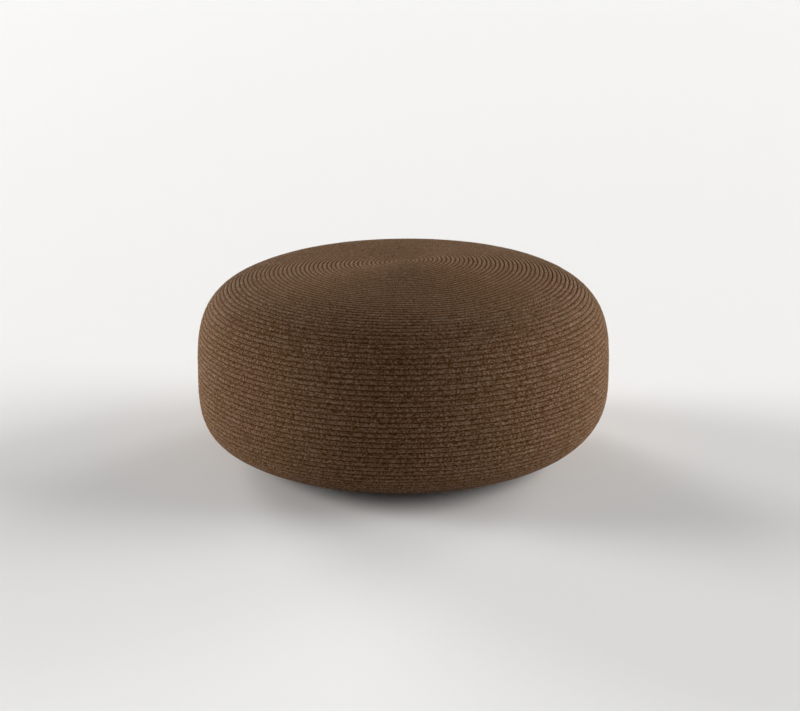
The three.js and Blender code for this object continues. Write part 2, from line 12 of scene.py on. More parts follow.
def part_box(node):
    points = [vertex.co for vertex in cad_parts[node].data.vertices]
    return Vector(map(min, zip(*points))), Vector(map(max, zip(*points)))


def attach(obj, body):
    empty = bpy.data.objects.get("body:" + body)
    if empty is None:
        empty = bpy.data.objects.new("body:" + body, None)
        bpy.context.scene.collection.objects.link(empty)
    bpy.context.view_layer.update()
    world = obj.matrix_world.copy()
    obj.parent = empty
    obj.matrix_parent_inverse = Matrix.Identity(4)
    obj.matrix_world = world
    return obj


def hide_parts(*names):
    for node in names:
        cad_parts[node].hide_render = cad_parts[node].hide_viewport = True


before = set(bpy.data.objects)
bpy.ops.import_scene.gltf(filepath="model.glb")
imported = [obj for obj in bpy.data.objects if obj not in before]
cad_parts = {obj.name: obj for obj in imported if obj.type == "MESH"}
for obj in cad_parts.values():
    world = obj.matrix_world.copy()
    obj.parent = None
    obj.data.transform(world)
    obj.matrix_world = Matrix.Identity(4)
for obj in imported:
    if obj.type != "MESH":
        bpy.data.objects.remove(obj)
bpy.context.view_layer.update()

bl_info = {
    "name": "Braided Cord Pouf",
    "version": (1, 0, 0),
    "blender": (4, 5, 0),
    "location": "3D View > Sidebar > Pouf",
    "description": "Makes a round outdoor pouf with a sewn cord cover, a zipped base and low feet",
    "category": "Object",
}

FULL_TURN = 2 * math.pi
MM = 0.001

# Points nearer than this are joined: in any mesh, and where the cover's rounds meet

WELD = 1e-7
ROUND_WELD = 2e-6

# Edges that turn by more than this look sharp

SOFT_CORNER = math.radians(40)
HARD_CORNER = math.radians(25)

# How finely the pieces are divided. Outlines have steps for the shoulder and for the lower side.

COVER_STEPS = (400, 300)
LAYER_STEPS = (48, 40)
INSIDE_RINGS = 64
CLOTH_RINGS = 30
HOLE_SIDES = 40
FOOT_SIDES = 64
COIL_STEPS = 8
COIL_SIDES = 5
STITCH_STEPS = 4
STITCH_SIDES = 6

# Threads of the woven finishes and cells of the foams

LINING_PITCH = 1.2 * MM
BINDING_PITCH = 1.4 * MM
TAPE_PITCH = 1.1 * MM
THREAD_PITCH = 0.5 * MM
MESH_PITCH = 1.6 * MM
SOFT_CELL = 2.2 * MM
FIRM_CELL = 1.4 * MM

# The range that a noise mostly keeps to

NOISE_RANGE = (0.3, 0.7)

# The cord's shading: the darkest and lightest level of each effect, where the relief's levels paint shade
# into the braid's hollows, and the level of the painted shade in the seam on the side and on the worn top

STREAK_LEVELS = (0.94, 1.06)
BEAD_LEVELS = (0.46, 1.54)
FUZZ_LEVELS = (0.5, 1.5)
RELIEF_SHADE_LEVELS = (0.5, 1.22)
SEAM_SHADE_LEVELS = (0.46, 0.3)

# How often per metre of cord the hue changes, and how strongly

HUE_CHANGES = ((60.0, 0.14), (7.0, 0.12))

# Streaks and fibres per metre of cord, fibres across it, and where the painted shade of the seam begins
# between the cord's middle and its edge

STREAKS = 4.0
FIBRES = 820.0
FIBRES_ACROSS = 7.0
SEAM_SHADE_EDGE = 0.55

# Heights over which the top grows worn and its seams take darker painted shade, and how much flatter its
# yarns look

WORN_AND_SHADED_HEIGHTS = (372 * MM, 400 * MM)
WORN_SHARE = 0.5

# Yarn darkened by its tone or by painted shade keeps a warm colour: the shade's power, its least value and
# the most warmth

WARMTH_POWER = -0.5
LEAST_SHADE = 0.05
MOST_WARMTH = 1.3

# The braid's relief, and the share of it that its fibres add

RELIEF = 1.1 * MM
FIBRE_SHARE = 0.3

# How flat the cord's section is, and how often its thickness wavers per metre

RIDGE_POWER = 2.4
WAVERS = 9.0

# The lower side's swelling: how low it sits, how far it goes all round, how much further it goes on the
# left, and the width over which it sets in beside the base

SWELL_POWER = 0.45
SWELL_ROUND = 0.6
SWELL_LEFT = 0.4
BASE_BLEND = 30 * MM

# Creases of the lining and lumps of the wadding, per metre

CREASES = 22.0
LUMPS = 34.0

# Room round the feet in the base cloth, room between the feet and what they touch, and the angle left
# open at each end of the seam webbing

HOLE_GAP = 0.5 * MM
SEAT_GAP = 0.3 * MM
SEAM_ANGLE = 0.0015

# How far the rows of stitches lie in from the edge they sew, and the base cloth's second row

ROW_INSET = 2.5 * MM
INNER_INSET = 3 * MM
SECOND_ROW = 8.5 * MM


def tint(red, green, blue):
    """A colour given as 0 to 255 display values, as the linear values that shaders take."""
    shares = (value / 255 for value in (red, green, blue))
    return tuple(s / 12.92 if s <= 0.04045 else ((s + 0.055) / 1.055) ** 2.4 for s in shares)


def opaque(colour):
    return (*colour, 1.0)


def reach(node):
    """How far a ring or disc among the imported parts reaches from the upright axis."""
    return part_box(node)[1].x


def bottom(node):
    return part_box(node)[0].z


def top(node):
    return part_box(node)[1].z


def half_width(node):
    low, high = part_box(node)
    return (high.x - low.x) / 2


def foot_circle():
    """Radius of the circle that the feet stand on. The second foot stands right of the middle."""
    low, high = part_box("foot_2")
    return (low.x + high.x) / 2


# Settings


def number(name, description, value, **kind):
    return bpy.props.FloatProperty(name=name, description=description, default=value, **kind)


def length(name, description, value):
    return number(name, description, value, precision=4, unit="LENGTH", subtype="DISTANCE")


def share(name, description, value):
    return number(name, description, value, min=0, max=1, subtype="FACTOR")


def degrees(name, description, value):
    return number(name, description, math.radians(value), subtype="ANGLE")


def count(name, description, value):
    return bpy.props.IntProperty(name=name, description=description, default=value, min=1)


def colour(name, description, *value):
    return bpy.props.FloatVectorProperty(
        name=name, description=description, default=tint(*value), size=3, min=0, max=1, subtype="COLOR"
    )


class PoufForm(bpy.types.PropertyGroup):
    """Outline that the cover and every layer under it follow."""

    radius: length("Radius", "Widest radius, at the waist", reach("braid_cover"))
    crown_top: length("Crown top", "Height of the middle of the top", top("braid_cover"))
    crown_rise: length("Crown rise", "How far the middle stands above the rest of the top", 8 * MM)
    crown_radius: length("Crown radius", "Radius at which the crown fades out", 225 * MM)
    waist: length("Waist", "Height of the widest round", 174 * MM)
    clearance: length("Clearance", "Height of the cover's flat underside", bottom("braid_cover"))
    base_margin: length("Base margin", "Flat left outside the hem binding", 2 * MM)
    shoulder_across: number("Shoulder across", "How full the shoulder is outwards", 4.3)
    shoulder_up: number("Shoulder up", "How full the shoulder is upwards", 3.4)
    flank_across: number("Flank across", "How full the lower side is outwards", 1.6)
    flank_up: number("Flank up", "How full the lower side is downwards", 2.85)
    hem: length("Hem", "Radius of the cover's cut edge", 300.1 * MM)
    lean: length("Lean", "How far the pouf sits to the right of its base", 3 * MM)
    lean_height: length("Lean height", "Height above the board over which it leans", 90 * MM)
    belly: length("Belly", "How far the lower side swells to the left", 8 * MM)
    seat_share: share("Seat share", "Share of the radius that sitting has dented", 0.9)
    tilt: number("Tilt", "How much the top rises to the right", 0.004)
    tuck: length("Tuck", "How far the lowest rounds are drawn in", 6 * MM)
    tuck_height: length("Tuck height", "Where the lowest rounds are drawn in most", 10 * MM)
    sides: count("Sides", "Facets round each soft piece", 144)


class CordCover(bpy.types.PropertyGroup):
    """Cord that the cover is sewn from."""

    thickness: length("Thickness", "Thickness of the sewn cord", 6 * MM)
    top_width: length("Width on top", "Step from round to round on the top", 9.4 * MM)
    side_width: length("Width on the side", "Step from round to round on the side", 10.6 * MM)
    first_wide: number("First wide round", "Round at which the cord starts to lie wider", 35)
    last_narrow: number("Last narrow round", "Round from which the cord lies at its side width", 47)
    seam_depth: length("Seam depth", "Depth of the groove between rounds", 3 * MM)
    across: count("Across", "Facets across one round", 6)
    unevenness: length("Unevenness", "How far rounds stand proud or lie low", 0.45 * MM)
    plait: length("Plait", "Length of one crossing of the braid's strands", 4.0 * MM)
    strands: number("Strands", "Crossings across one round", 3)
    fleck: share("Fleck", "How much the single strands differ in colour", 0.34)
    base: colour("Cord", "Main colour of the yarn", 115, 85, 61)
    light: colour("Light fleck", "Lightest yarn", 170, 142, 116)
    dark: colour("Dark fleck", "Darkest yarn", 46, 31, 21)
    red: colour("Red fleck", "Reddish yarn", 114, 76, 55)
    olive: colour("Olive fleck", "Olive yarn", 104, 85, 55)
    grey: colour("Grey fleck", "Greyish yarn", 106, 88, 77)
    sheen: colour("Sheen", "Loose fibres that catch the light at a slant", 184, 164, 136)
    fill: share("Fill", "How tightly the cover is filled", 0.9)


class Filling(bpy.types.PropertyGroup):
    """Layers under the cover."""

    lining: length("Lining", "Thickness of the lining bag", 1.5 * MM)
    wadding: length("Wadding", "Thickness of the wadding", 13 * MM)
    soft_gap: length("Soft gap", "Gap between one layer and the next", 0.4 * MM)
    lip: length("Lip", "How far the lining turns in under the board", 19.9 * MM)
    pucker: length("Pucker", "Height of the lining's creases", 0.9 * MM)
    lump: length("Lump", "Height of the wadding's lumps", 2.2 * MM)
    drain_circle: length("Drain circle", "Radius on which the board's drain holes lie", 130 * MM)
    drain: length("Drain", "Radius of a drain hole", 10 * MM)
    drains: count("Drains", "Number of drain holes", 8)
    lining_colour: colour("Lining colour", "Lining bag", 226, 221, 210)
    wadding_colour: colour("Wadding colour", "Wadding", 240, 239, 234)
    soft_foam: colour("Soft foam", "Soft foam", 232, 226, 198)
    firm_foam: colour("Firm foam", "Firm foam", 181, 192, 199)
    timber: colour("Timber", "Plywood board", 176, 138, 96)


class Underside(bpy.types.PropertyGroup):
    """Hem, base cloth and zip."""

    fold: length("Fold", "Thickness of the hem binding", 1 * MM)
    binding: length("Binding", "Width of the hem binding", 14 * MM)
    sag: length("Sag", "How far the base cloth hangs in its middle", 2.5 * MM)
    tape: length("Tape", "Width of one zip tape", 21 * MM)
    zip_arc: degrees("Zip arc", "How far round the zip runs", 300)
    coil: length("Coil", "Width of one coil", 3 * MM)
    coil_pitch: length("Coil pitch", "Distance between turns of the zip's coil", 1.8 * MM)
    filament: length("Filament", "Thickness of the coil's filament", 0.7 * MM)
    bite: length("Bite", "How far each coil reaches past the middle, between the other's turns", 0.45 * MM)
    stitch: length("Stitch", "Length of one stitch", 3.4 * MM)
    stitch_step: length("Stitch step", "Distance from stitch to stitch", 4.6 * MM)
    thread: length("Thread", "Thickness of the sewing thread", 0.7 * MM)
    binding_colour: colour("Binding colour", "Hem binding", 75, 58, 43)
    cloth_colour: colour("Cloth colour", "Base cloth", 52, 45, 39)
    tape_colour: colour("Tape colour", "Zip tape and webbing", 58, 47, 38)
    thread_colour: colour("Thread colour", "Sewing thread", 104, 84, 64)
    coil_colour: colour("Coil colour", "Zip coil", 40, 35, 31)
    metal_colour: colour("Metal colour", "Zip slider, pull and stops", 78, 72, 66)


class Feet(bpy.types.PropertyGroup):
    """Feet and what holds them."""

    number: count("Number", "Number of feet", 6)
    spigot: length("Spigot", "Radius of the foot's spigot", 11 * MM)
    bore: length("Bore", "Radius of the screw's hole", 4.3 * MM)
    head_bore: length("Head bore", "Radius of the hole for the screw's head", 8.5 * MM)
    edge: length("Edge", "Round on the foot's lower edge", 3 * MM)
    groove: length("Groove", "Depth of the grooves in a pad", 0.9 * MM)
    grooves: count("Grooves", "Number of grooves in a pad", 4)
    screw: length("Screw", "Radius of a screw", 4 * MM)
    thread_pitch: length("Thread pitch", "Distance between the screw's threads", 1.25 * MM)
    head_height: length("Head height", "Height of a screw's head", 4 * MM)
    nut_wall: length("Nut wall", "Thickness of a tee nut's barrel", 0.7 * MM)
    nut_flange: length("Nut flange", "Thickness of a tee nut's flange", 1.5 * MM)
    plastic: colour("Plastic", "Feet", 34, 31, 28)
    rubber: colour("Rubber", "Pads", 22, 21, 20)
    steel: colour("Steel", "Screws and tee nuts", 186, 188, 190)


class Studio(bpy.types.PropertyGroup):
    """Camera, floor and light."""

    distance: length("Distance", "From the camera to the pouf's middle", 4.4)
    elevation: degrees("Elevation", "Camera's angle above the horizon", 16.74)
    aim: length("Aim", "Height that the camera looks at", 204.3 * MM)
    focal_pixels: number("Focal pixels", "Focal length as pixels of the photograph", 2050.6)
    middle_pixel: number("Middle pixel", "Column of the photograph that the pouf's axis lies on", 401.9)
    floor: colour("Floor", "Floor and backdrop", 243, 242, 240)
    fill_light: number("Fill light", "Even light from all round", 0.05)


# Lamps: name, bearing, elevation, spread and level

LAMPS = (
    ("left_window", -104, 10.5, 32, 1.34),
    ("right_window", 99, 9.5, 52, 1.58),
    ("back_left_window", -150, 8.0, 26, 1.1),
    ("back_right_window", 140, 8.0, 28, 0.8),
)

# Hollows of the used top: how far right and behind the middle, radius and depth. A negative depth swells.

DENTS = (
    (145 * MM, 55 * MM, 205 * MM, -7 * MM),
    (120 * MM, -275 * MM, 110 * MM, 8 * MM),
    (-30 * MM, 15 * MM, 100 * MM, 7 * MM),
    (45 * MM, -70 * MM, 200 * MM, -6 * MM),
    (-290 * MM, 120 * MM, 125 * MM, 7 * MM),
)


# Node trees


class Nodes:
    """Adds nodes to a tree and links them."""

    def __init__(self, tree):
        self.tree = tree

    def add(self, kind, inputs=(), **settings):
        """Adds a node, with its inputs by place or by name."""
        node = self.tree.nodes.new(kind)
        for key, value in settings.items():
            setattr(node, key, value)
        pairs = inputs.items() if isinstance(inputs, dict) else enumerate(inputs)
        for key, value in pairs:
            self.feed(node.inputs[key], value)
        return node

    def feed(self, socket, value):
        """Gives an input a plain value, another socket, or a node's first output."""
        if isinstance(value, bpy.types.Node):
            value = value.outputs[0]
        if isinstance(value, bpy.types.NodeSocket):
            self.tree.links.new(value, socket)
        else:
            socket.default_value = value

    def math(self, operation, *values, clamp=False):
        return self.add("ShaderNodeMath", values, operation=operation, use_clamp=clamp)

    def plus(self, *values):
        return reduce(partial(self.math, "ADD"), values)

    def times(self, *values):
        return reduce(partial(self.math, "MULTIPLY"), values)

    minus = partialmethod(math, "SUBTRACT")
    over = partialmethod(math, "DIVIDE")
    scaled = partialmethod(math, "MULTIPLY_ADD")
    power = partialmethod(math, "POWER")
    at_least = partialmethod(math, "MAXIMUM")
    at_most = partialmethod(math, "MINIMUM")
    absolute = partialmethod(math, "ABSOLUTE")
    floor = partialmethod(math, "FLOOR")
    sine = partialmethod(math, "SINE")
    cosine = partialmethod(math, "COSINE")

    def combine(self, x=0.0, y=0.0, z=0.0):
        return self.add("ShaderNodeCombineXYZ", (x, y, z))

    def split(self, vector):
        return self.add("ShaderNodeSeparateXYZ", (vector,)).outputs

    def remap(self, value, low, high, start=0.0, end=1.0, smooth=False):
        """Carries low..high to start..end, held at both ends."""
        how = "SMOOTHSTEP" if smooth else "LINEAR"
        inputs = {"Value": value, "From Min": low, "From Max": high, "To Min": start, "To Max": end}
        return self.add("ShaderNodeMapRange", inputs, interpolation_type=how, clamp=True)

    def blend(self, factor, first, second, kind="MIX"):
        """Mixes two colours."""
        inputs = {0: factor, 6: first, 7: second}
        return self.add("ShaderNodeMix", inputs, data_type="RGBA", blend_type=kind).outputs[2]

    def noise(self, place, scale=1.0, detail=2.0, roughness=0.5, distortion=0.0):
        inputs = {"Vector": place, "Scale": scale, "Detail": detail, "Roughness": roughness}
        return self.add("ShaderNodeTexNoise", {**inputs, "Distortion": distortion})

    def vary(self, value, start, end):
        """Carries a noise's usual range to start..end."""
        return self.remap(value, *NOISE_RANGE, start, end)

    def chance(self, *cell):
        """One random value for each whole-numbered cell."""
        return self.add("ShaderNodeTexWhiteNoise", (self.combine(*cell),))

    def ramp(self, factor, stops):
        node = self.add("ShaderNodeValToRGB", (factor,))
        elements = node.color_ramp.elements
        while len(elements) < len(stops):
            elements.new(1.0)
        for element, (place, shade) in zip(elements, stops):
            element.position = place
            element.color = opaque(shade)
        return node


class Finish(Nodes):
    """A material with one Principled shader, whose plain values sit on its own sockets."""

    def __init__(self, name, **values):
        self.material = bpy.data.materials.new(name)
        self.material.use_nodes = True
        super().__init__(self.material.node_tree)
        self.tree.nodes.clear()
        inputs = {key.replace("_", " "): value for key, value in values.items()}
        self.shader = self.add("ShaderNodeBsdfPrincipled", inputs)
        self.add("ShaderNodeOutputMaterial", (self.shader,))
        self.place = self.add("ShaderNodeTexCoord").outputs["Object"]

    def give(self, name, value):
        self.feed(self.shader.inputs[name], value)

    def shade(self, colour, level):
        """Gives the surface one colour, lighter or darker by a level."""
        grey = self.combine(level, level, level)
        self.give("Base Color", self.blend(1.0, opaque(colour), grey, "MULTIPLY"))

    def bump(self, height, distance, strength=1.0):
        inputs = {"Strength": strength, "Distance": distance, "Height": height}
        self.give("Normal", self.add("ShaderNodeBump", inputs))

    def surface(self, name):
        """Places along and across a cloth or cord, from one of its mesh's maps."""
        return self.split(self.add("ShaderNodeUVMap", uv_map=name))[:2]

    def stretched(self, *factors):
        """The place on the piece, with its three axes multiplied."""
        return self.add("ShaderNodeVectorMath", (self.place, factors), operation="MULTIPLY")


def diagonal_weave(nodes, along, across):
    """Two sets of strands that cross at a slant. Gives the height and each cell's two numbers."""
    ways = (nodes.plus(along, across), nodes.minus(along, across))
    cells = [nodes.floor(way) for way in ways]
    first, second = (nodes.sine(nodes.times(nodes.math("FRACT", way), math.pi)) for way in ways)
    over = nodes.math("PINGPONG", nodes.plus(*cells), 1.0)
    under = nodes.minus(1.0, over)
    rounded = 0.4
    upper = nodes.times(over, first, nodes.scaled(second, rounded, 1 - rounded))
    lower = nodes.times(under, second, nodes.scaled(first, rounded, 1 - rounded))
    return nodes.plus(upper, lower), cells


def cord_finish(cord):
    """Heathered braid: slanting strands, flecks of several yarns, painted shade in the braid's hollows, and
    painted shade in the seam groove on each side.
    """
    made = Finish(
        "heathered_cord",
        Roughness=0.95,
        Sheen_Weight=0.2,
        Sheen_Roughness=0.5,
        Sheen_Tint=opaque(cord.sheen),
        Specular_IOR_Level=0.02,
    )
    along, across = made.surface("cord")
    lane = made.times(made.minus(across, 0.5), cord.strands)
    height, cells = diagonal_weave(made, made.over(along, cord.plait), lane)

    yarns = (
        (0.0, cord.dark), (0.18, cord.base), (0.34, cord.red), (0.48, cord.base),
        (0.62, cord.olive), (0.72, cord.base), (0.84, cord.grey), (1.0, cord.light),
    )
    body = made.blend(cord.fleck, opaque(cord.base), made.ramp(made.chance(*cells, 1.0), yarns))
    hues = ((0.3, cord.red), (0.44, cord.base), (0.54, cord.base), (0.66, cord.olive), (0.8, cord.grey))
    for per_metre, strength in HUE_CHANGES:
        spot = made.combine(made.times(along, per_metre), across, per_metre)
        body = made.blend(strength, body, made.ramp(made.noise(spot, detail=1.0), hues))

    streaks = made.combine(made.times(along, STREAKS), across)
    fibres = made.combine(made.times(along, FIBRES), made.times(across, FIBRES_ACROSS))
    fuzz = made.vary(made.noise(fibres, detail=1.0), *FUZZ_LEVELS)
    yarn_shade = made.times(
        made.vary(made.noise(streaks), *STREAK_LEVELS),
        made.remap(made.chance(*cells[::-1], 5.0), 0.0, 1.0, *BEAD_LEVELS),
        fuzz,
        # Painted shade in the braid's hollows, from the height of its strands
        made.remap(height, 0.0, 0.75, *RELIEF_SHADE_LEVELS),
    )
    # The worn top: its yarns look flatter, and the painted shade in its seams is darker
    worn_and_shaded_top = made.remap(made.split(made.place)[2], *WORN_AND_SHADED_HEIGHTS, smooth=True)
    flatter = made.times(worn_and_shaded_top, WORN_SHARE, made.minus(1.0, yarn_shade))
    # Painted shade in the groove between rounds, strongest at the cord's edges
    edge = made.absolute(made.scaled(across, 2.0, -1.0))
    seam = made.remap(edge, SEAM_SHADE_EDGE, 1.0, 1.0, made.remap(worn_and_shaded_top, 0.0, 1.0, *SEAM_SHADE_LEVELS), smooth=True)
    shade = made.times(made.plus(yarn_shade, flatter), seam)
    lit = made.blend(1.0, body, made.combine(shade, shade, shade), "MULTIPLY")
    warmth = made.power(made.at_least(shade, LEAST_SHADE), WARMTH_POWER)
    warmth = made.at_most(warmth, MOST_WARMTH)
    made.give("Base Color", made.add("ShaderNodeHueSaturation", {"Saturation": warmth, "Color": lit}))
    made.bump(made.scaled(fuzz, FIBRE_SHARE, height), RELIEF)
    return made.material


def webbing_finish(name, shade, pitch, roughness=0.85):
    """Plain woven tape or cloth, with painted shade where its threads dip under each other."""
    made = Finish(name, Roughness=roughness, Sheen_Weight=0.1)
    along, across = made.surface("cloth")
    height, cells = diagonal_weave(made, made.over(along, pitch), made.over(across, pitch))
    threads = made.remap(made.chance(*cells), 0.0, 1.0, 0.85, 1.15)
    # Painted shade where the threads dip, from the weave's height
    made.shade(shade, made.times(threads, made.remap(height, 0.0, 0.8, 0.55, 1.1)))
    made.bump(height, 0.5 * pitch, 0.8)
    return made.material


def mesh_cloth_finish(shade):
    """Open mesh cloth: coarse threads, with painted shade in the gaps between them."""
    made = Finish("open_mesh_cloth", Roughness=0.75)
    axes = made.split(made.place)[:2]
    waves = [made.sine(made.times(axis, math.pi / MESH_PITCH)) for axis in axes]
    gap = made.times(*(made.absolute(wave) for wave in waves))
    # Painted shade in the gaps between the threads
    threads = made.remap(gap, 0.45, 0.75, 1.0, 0.12, smooth=True)
    made.shade(shade, made.times(threads, made.vary(made.noise(made.place, 25.0), 0.85, 1.15)))
    made.bump(threads, 0.4 * MESH_PITCH, 0.7)
    return made.material


def foam_finish(name, shade, cell):
    """Open-cell foam."""
    made = Finish(name, Roughness=0.95, Sheen_Weight=0.15)
    cells = made.add("ShaderNodeTexVoronoi", {"Vector": made.place, "Scale": 1 / cell})
    mottle = made.vary(made.noise(made.place, 14.0, 3.0), 0.94, 1.05)
    # Painted shade in the pores, darkest at each cell's middle
    made.shade(shade, made.times(made.remap(cells, 0.0, 0.6, 0.72, 1.05), mottle))
    made.bump(cells, cell, 0.6)
    return made.material


def lining_finish(shade):
    """Thin unbleached cotton."""
    made = Finish("cotton_lining", Roughness=0.9, Sheen_Weight=0.2)
    x, y, z = made.split(made.place)
    around = made.times(made.math("ARCTAN2", y, x), reach("inner_lining") / LINING_PITCH)
    upward = made.times(z, FULL_TURN / LINING_PITCH)
    height = made.times(made.sine(around), made.sine(upward))
    slubs = made.vary(made.noise(made.stretched(60.0, 60.0, 900.0)), 0.93, 1.05)
    # Painted shade, slight, in the dips of the weave
    made.shade(shade, made.times(made.remap(height, -1.0, 1.0, 0.93, 1.03), slubs))
    made.bump(height, 0.2 * LINING_PITCH, 0.6)
    return made.material


def wadding_finish(shade):
    """Loose polyester fibre."""
    made = Finish("fibre_wadding_finish", Roughness=1.0, Sheen_Weight=0.5)
    strands = made.noise(made.place, 260.0, 6.0, 0.75, 1.5)
    made.shade(shade, made.vary(strands, 0.82, 1.06))
    made.bump(strands, 2 * MM, 0.7)
    return made.material


def moulded_finish(name, shade, roughness):
    """Moulded plastic or rubber with a fine spark-eroded grain and rubbed patches."""
    made = Finish(name)
    rubbed = made.noise(made.place, 40.0, 3.0, 0.6)
    made.shade(shade, made.vary(rubbed, 0.85, 1.25))
    made.give("Roughness", made.vary(rubbed, roughness + 0.08, roughness - 0.08))
    made.bump(made.noise(made.place, 1600.0, 3.0, 0.6), 0.15 * MM, 0.5)
    return made.material


def metal_finish(name, shade, roughness):
    """Die-cast or plated metal with fine rub marks."""
    made = Finish(name, Metallic=1.0)
    marks = made.noise(made.stretched(300.0, 900.0, 300.0), 1.0, 4.0, 0.65)
    rubbed = tuple(min(1.0, 1.5 * value) for value in shade)
    made.give("Base Color", made.ramp(made.noise(made.place, 180.0), ((0.35, shade), (0.75, rubbed))))
    made.give("Roughness", made.vary(marks, roughness - 0.06, roughness + 0.14))
    made.bump(marks, 0.05 * MM, 0.4)
    return made.material


def plywood_finish(shade):
    """Plywood: long grain on the faces and plies at the edge."""
    made = Finish("plywood_finish", Roughness=0.6)
    grain = made.noise(made.stretched(14.0, 160.0, 1.0), 1.0, 4.0, 0.6, 0.6)
    plies = made.math("PINGPONG", made.over(made.split(made.place)[2], 2 * MM), 1.0)
    made.shade(shade, made.times(made.vary(grain, 0.78, 1.1), made.remap(plies, 0.0, 1.0, 0.92, 1.04)))
    made.bump(grain, 0.3 * MM, 0.4)
    return made.material


# Form of the pouf


def quarter_turn(steps):
    """Angles from 0 to a quarter turn that crowd at both ends."""
    return math.pi / 4 * (1 - np.cos(math.pi * np.linspace(0, 1, steps + 1)))


def layer_outline(form, depth, floor, base, steps=LAYER_STEPS):
    """Half outline of a layer at a depth under the form, from the top's middle to its flat base."""
    angle = quarter_turn(steps[0])
    radius = (form.radius - depth) * np.sin(angle) ** (2 / form.shoulder_across)
    shoulder = form.crown_top - form.crown_rise - depth - form.waist
    height = form.waist + shoulder * np.clip(np.cos(angle), 0, 1) ** (2 / form.shoulder_up)
    crown = form.crown_rise * (1 + np.cos(math.pi * radius / form.crown_radius)) / 2
    height = height + np.where(radius < form.crown_radius, crown, 0)
    angle = quarter_turn(steps[1])[1:]
    across = np.clip(np.cos(angle), 0, 1) ** (2 / form.flank_across)
    low_radius = base + (form.radius - depth - base) * across
    low_height = form.waist - (form.waist - floor) * np.sin(angle) ** (2 / form.flank_up)
    return np.column_stack([np.append(radius, low_radius), np.append(height, low_height)])


def base_radius(form):
    return reach("hem_binding") + form.base_margin


def settle(points, form):
    """Moves points as the used pouf sits: it leans, its top is dented, and its lower side swells."""
    moved = points.copy()
    across, behind, height = points.T
    up = np.clip((height - form.waist) / (form.crown_top - form.waist), 0, 1)
    low = np.clip(height / form.waist, 0, 1)
    radius = np.hypot(across, behind)
    beyond_base = np.clip((radius - base_radius(form)) / BASE_BLEND, 0, 1)
    on_left = SWELL_ROUND - SWELL_LEFT * across / form.radius
    swell = np.sin(math.pi * low ** SWELL_POWER) ** 2 * on_left
    lean = np.clip((height - top("base_board")) / form.lean_height, 0, 1)
    moved[:, 0] += form.lean * lean ** 2 * (3 - 2 * lean) - form.belly * swell * beyond_base
    top_share = np.clip(1 - (radius / (form.seat_share * form.radius)) ** 4, 0, 1) * up ** 2
    for right, back, size, depth in DENTS:
        away = ((across - right) ** 2 + (behind - back) ** 2) / size ** 2
        moved[:, 2] -= depth * np.exp(-away) * top_share
    moved[:, 2] += form.tilt * across * up ** 2
    above = np.clip((height - form.clearance) / form.tuck_height, 0, None)
    drawn_in = 1 - form.tuck * above * np.exp(1 - above) * beyond_base / form.radius
    moved[:, :2] *= drawn_in[:, None]
    return moved


# Meshes


def link(name, data):
    """Adds an object to the scene."""
    item = bpy.data.objects.new(name, data)
    bpy.context.scene.collection.objects.link(item)
    return item


def add_piece(name, mesh, slot, *nodes, material=None, corner=HARD_CORNER):
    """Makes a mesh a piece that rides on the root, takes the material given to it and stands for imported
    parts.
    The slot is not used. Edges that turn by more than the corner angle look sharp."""
    mesh.name = name
    if material is not None:
        mesh.materials.clear()
        mesh.materials.append(material)
    mesh.shade_smooth()
    if corner is not None:
        mesh.set_sharp_from_angle(angle=corner)
    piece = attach(link(name, mesh), "root")
    if nodes:
        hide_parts(*nodes)
    return piece


def outward(mesh):
    """Joins a closed mesh's doubled points, drops loose ones, and turns its faces outwards."""
    body = bmesh.new()
    body.from_mesh(mesh)
    bmesh.ops.remove_doubles(body, verts=body.verts[:], dist=WELD)
    wires = [edge for edge in body.edges if not edge.link_faces]
    bmesh.ops.delete(body, geom=wires, context="EDGES")
    loose = [point for point in body.verts if not point.link_faces]
    bmesh.ops.delete(body, geom=loose, context="VERTS")
    bmesh.ops.recalc_face_normals(body, faces=body.faces[:])
    if body.calc_volume(signed=True) < 0:
        bmesh.ops.reverse_faces(body, faces=body.faces[:])
    body.to_mesh(mesh)
    body.free()


def on_circle(radius, angle):
    """A point in plan, with angle zero at the front and anticlockwise from above."""
    return radius * np.sin(angle), -radius * np.cos(angle)


def line_length(outline):
    return float(np.hypot(*np.diff(outline, axis=0).T).sum())


def sweep(outline, steps, start=0.0, end=FULL_TURN, change=None):
    """Turns an outline of radius and height round the upright axis, all the way or between two angles.
    The outline closes on itself, or starts and ends on the axis. Change moves the points. The map
    named cloth has the places along and across, in metres."""
    outline = np.asarray(outline, float)
    on_axis = outline[0, 0] == 0 and outline[-1, 0] == 0
    if not on_axis:
        outline = np.vstack([outline, outline[:1]])
    size = len(outline)
    angles = np.linspace(start, end, steps + 1)
    x, y = on_circle(outline[:, 0], angles[:, None])
    height = np.broadcast_to(outline[:, 1], x.shape)
    points = np.stack([x, y, height], axis=-1).reshape(-1, 3)
    run = np.append(0, np.cumsum(np.hypot(*np.diff(outline, axis=0).T)))
    around = angles * outline[:, 0].max()
    faces = [
        ((i, j), (i + 1, j), (i + 1, j + 1), (i, j + 1)) for i in range(steps) for j in range(size - 1)
    ]
    if end - start < FULL_TURN:
        faces += [[(i, j) for j in range(size - 1)] for i in (0, steps)]
    if change is not None:
        points = change(points, size)
    mesh = bpy.data.meshes.new("solid")
    corners = [[i * size + j for i, j in face] for face in faces]
    mesh.from_pydata([tuple(point) for point in points], [], corners)
    places = np.array([(around[i], run[j]) for face in faces for i, j in face], np.float32)
    mesh.uv_layers.new(name="cloth").data.foreach_set("uv", places.ravel())
    outward(mesh)
    return mesh


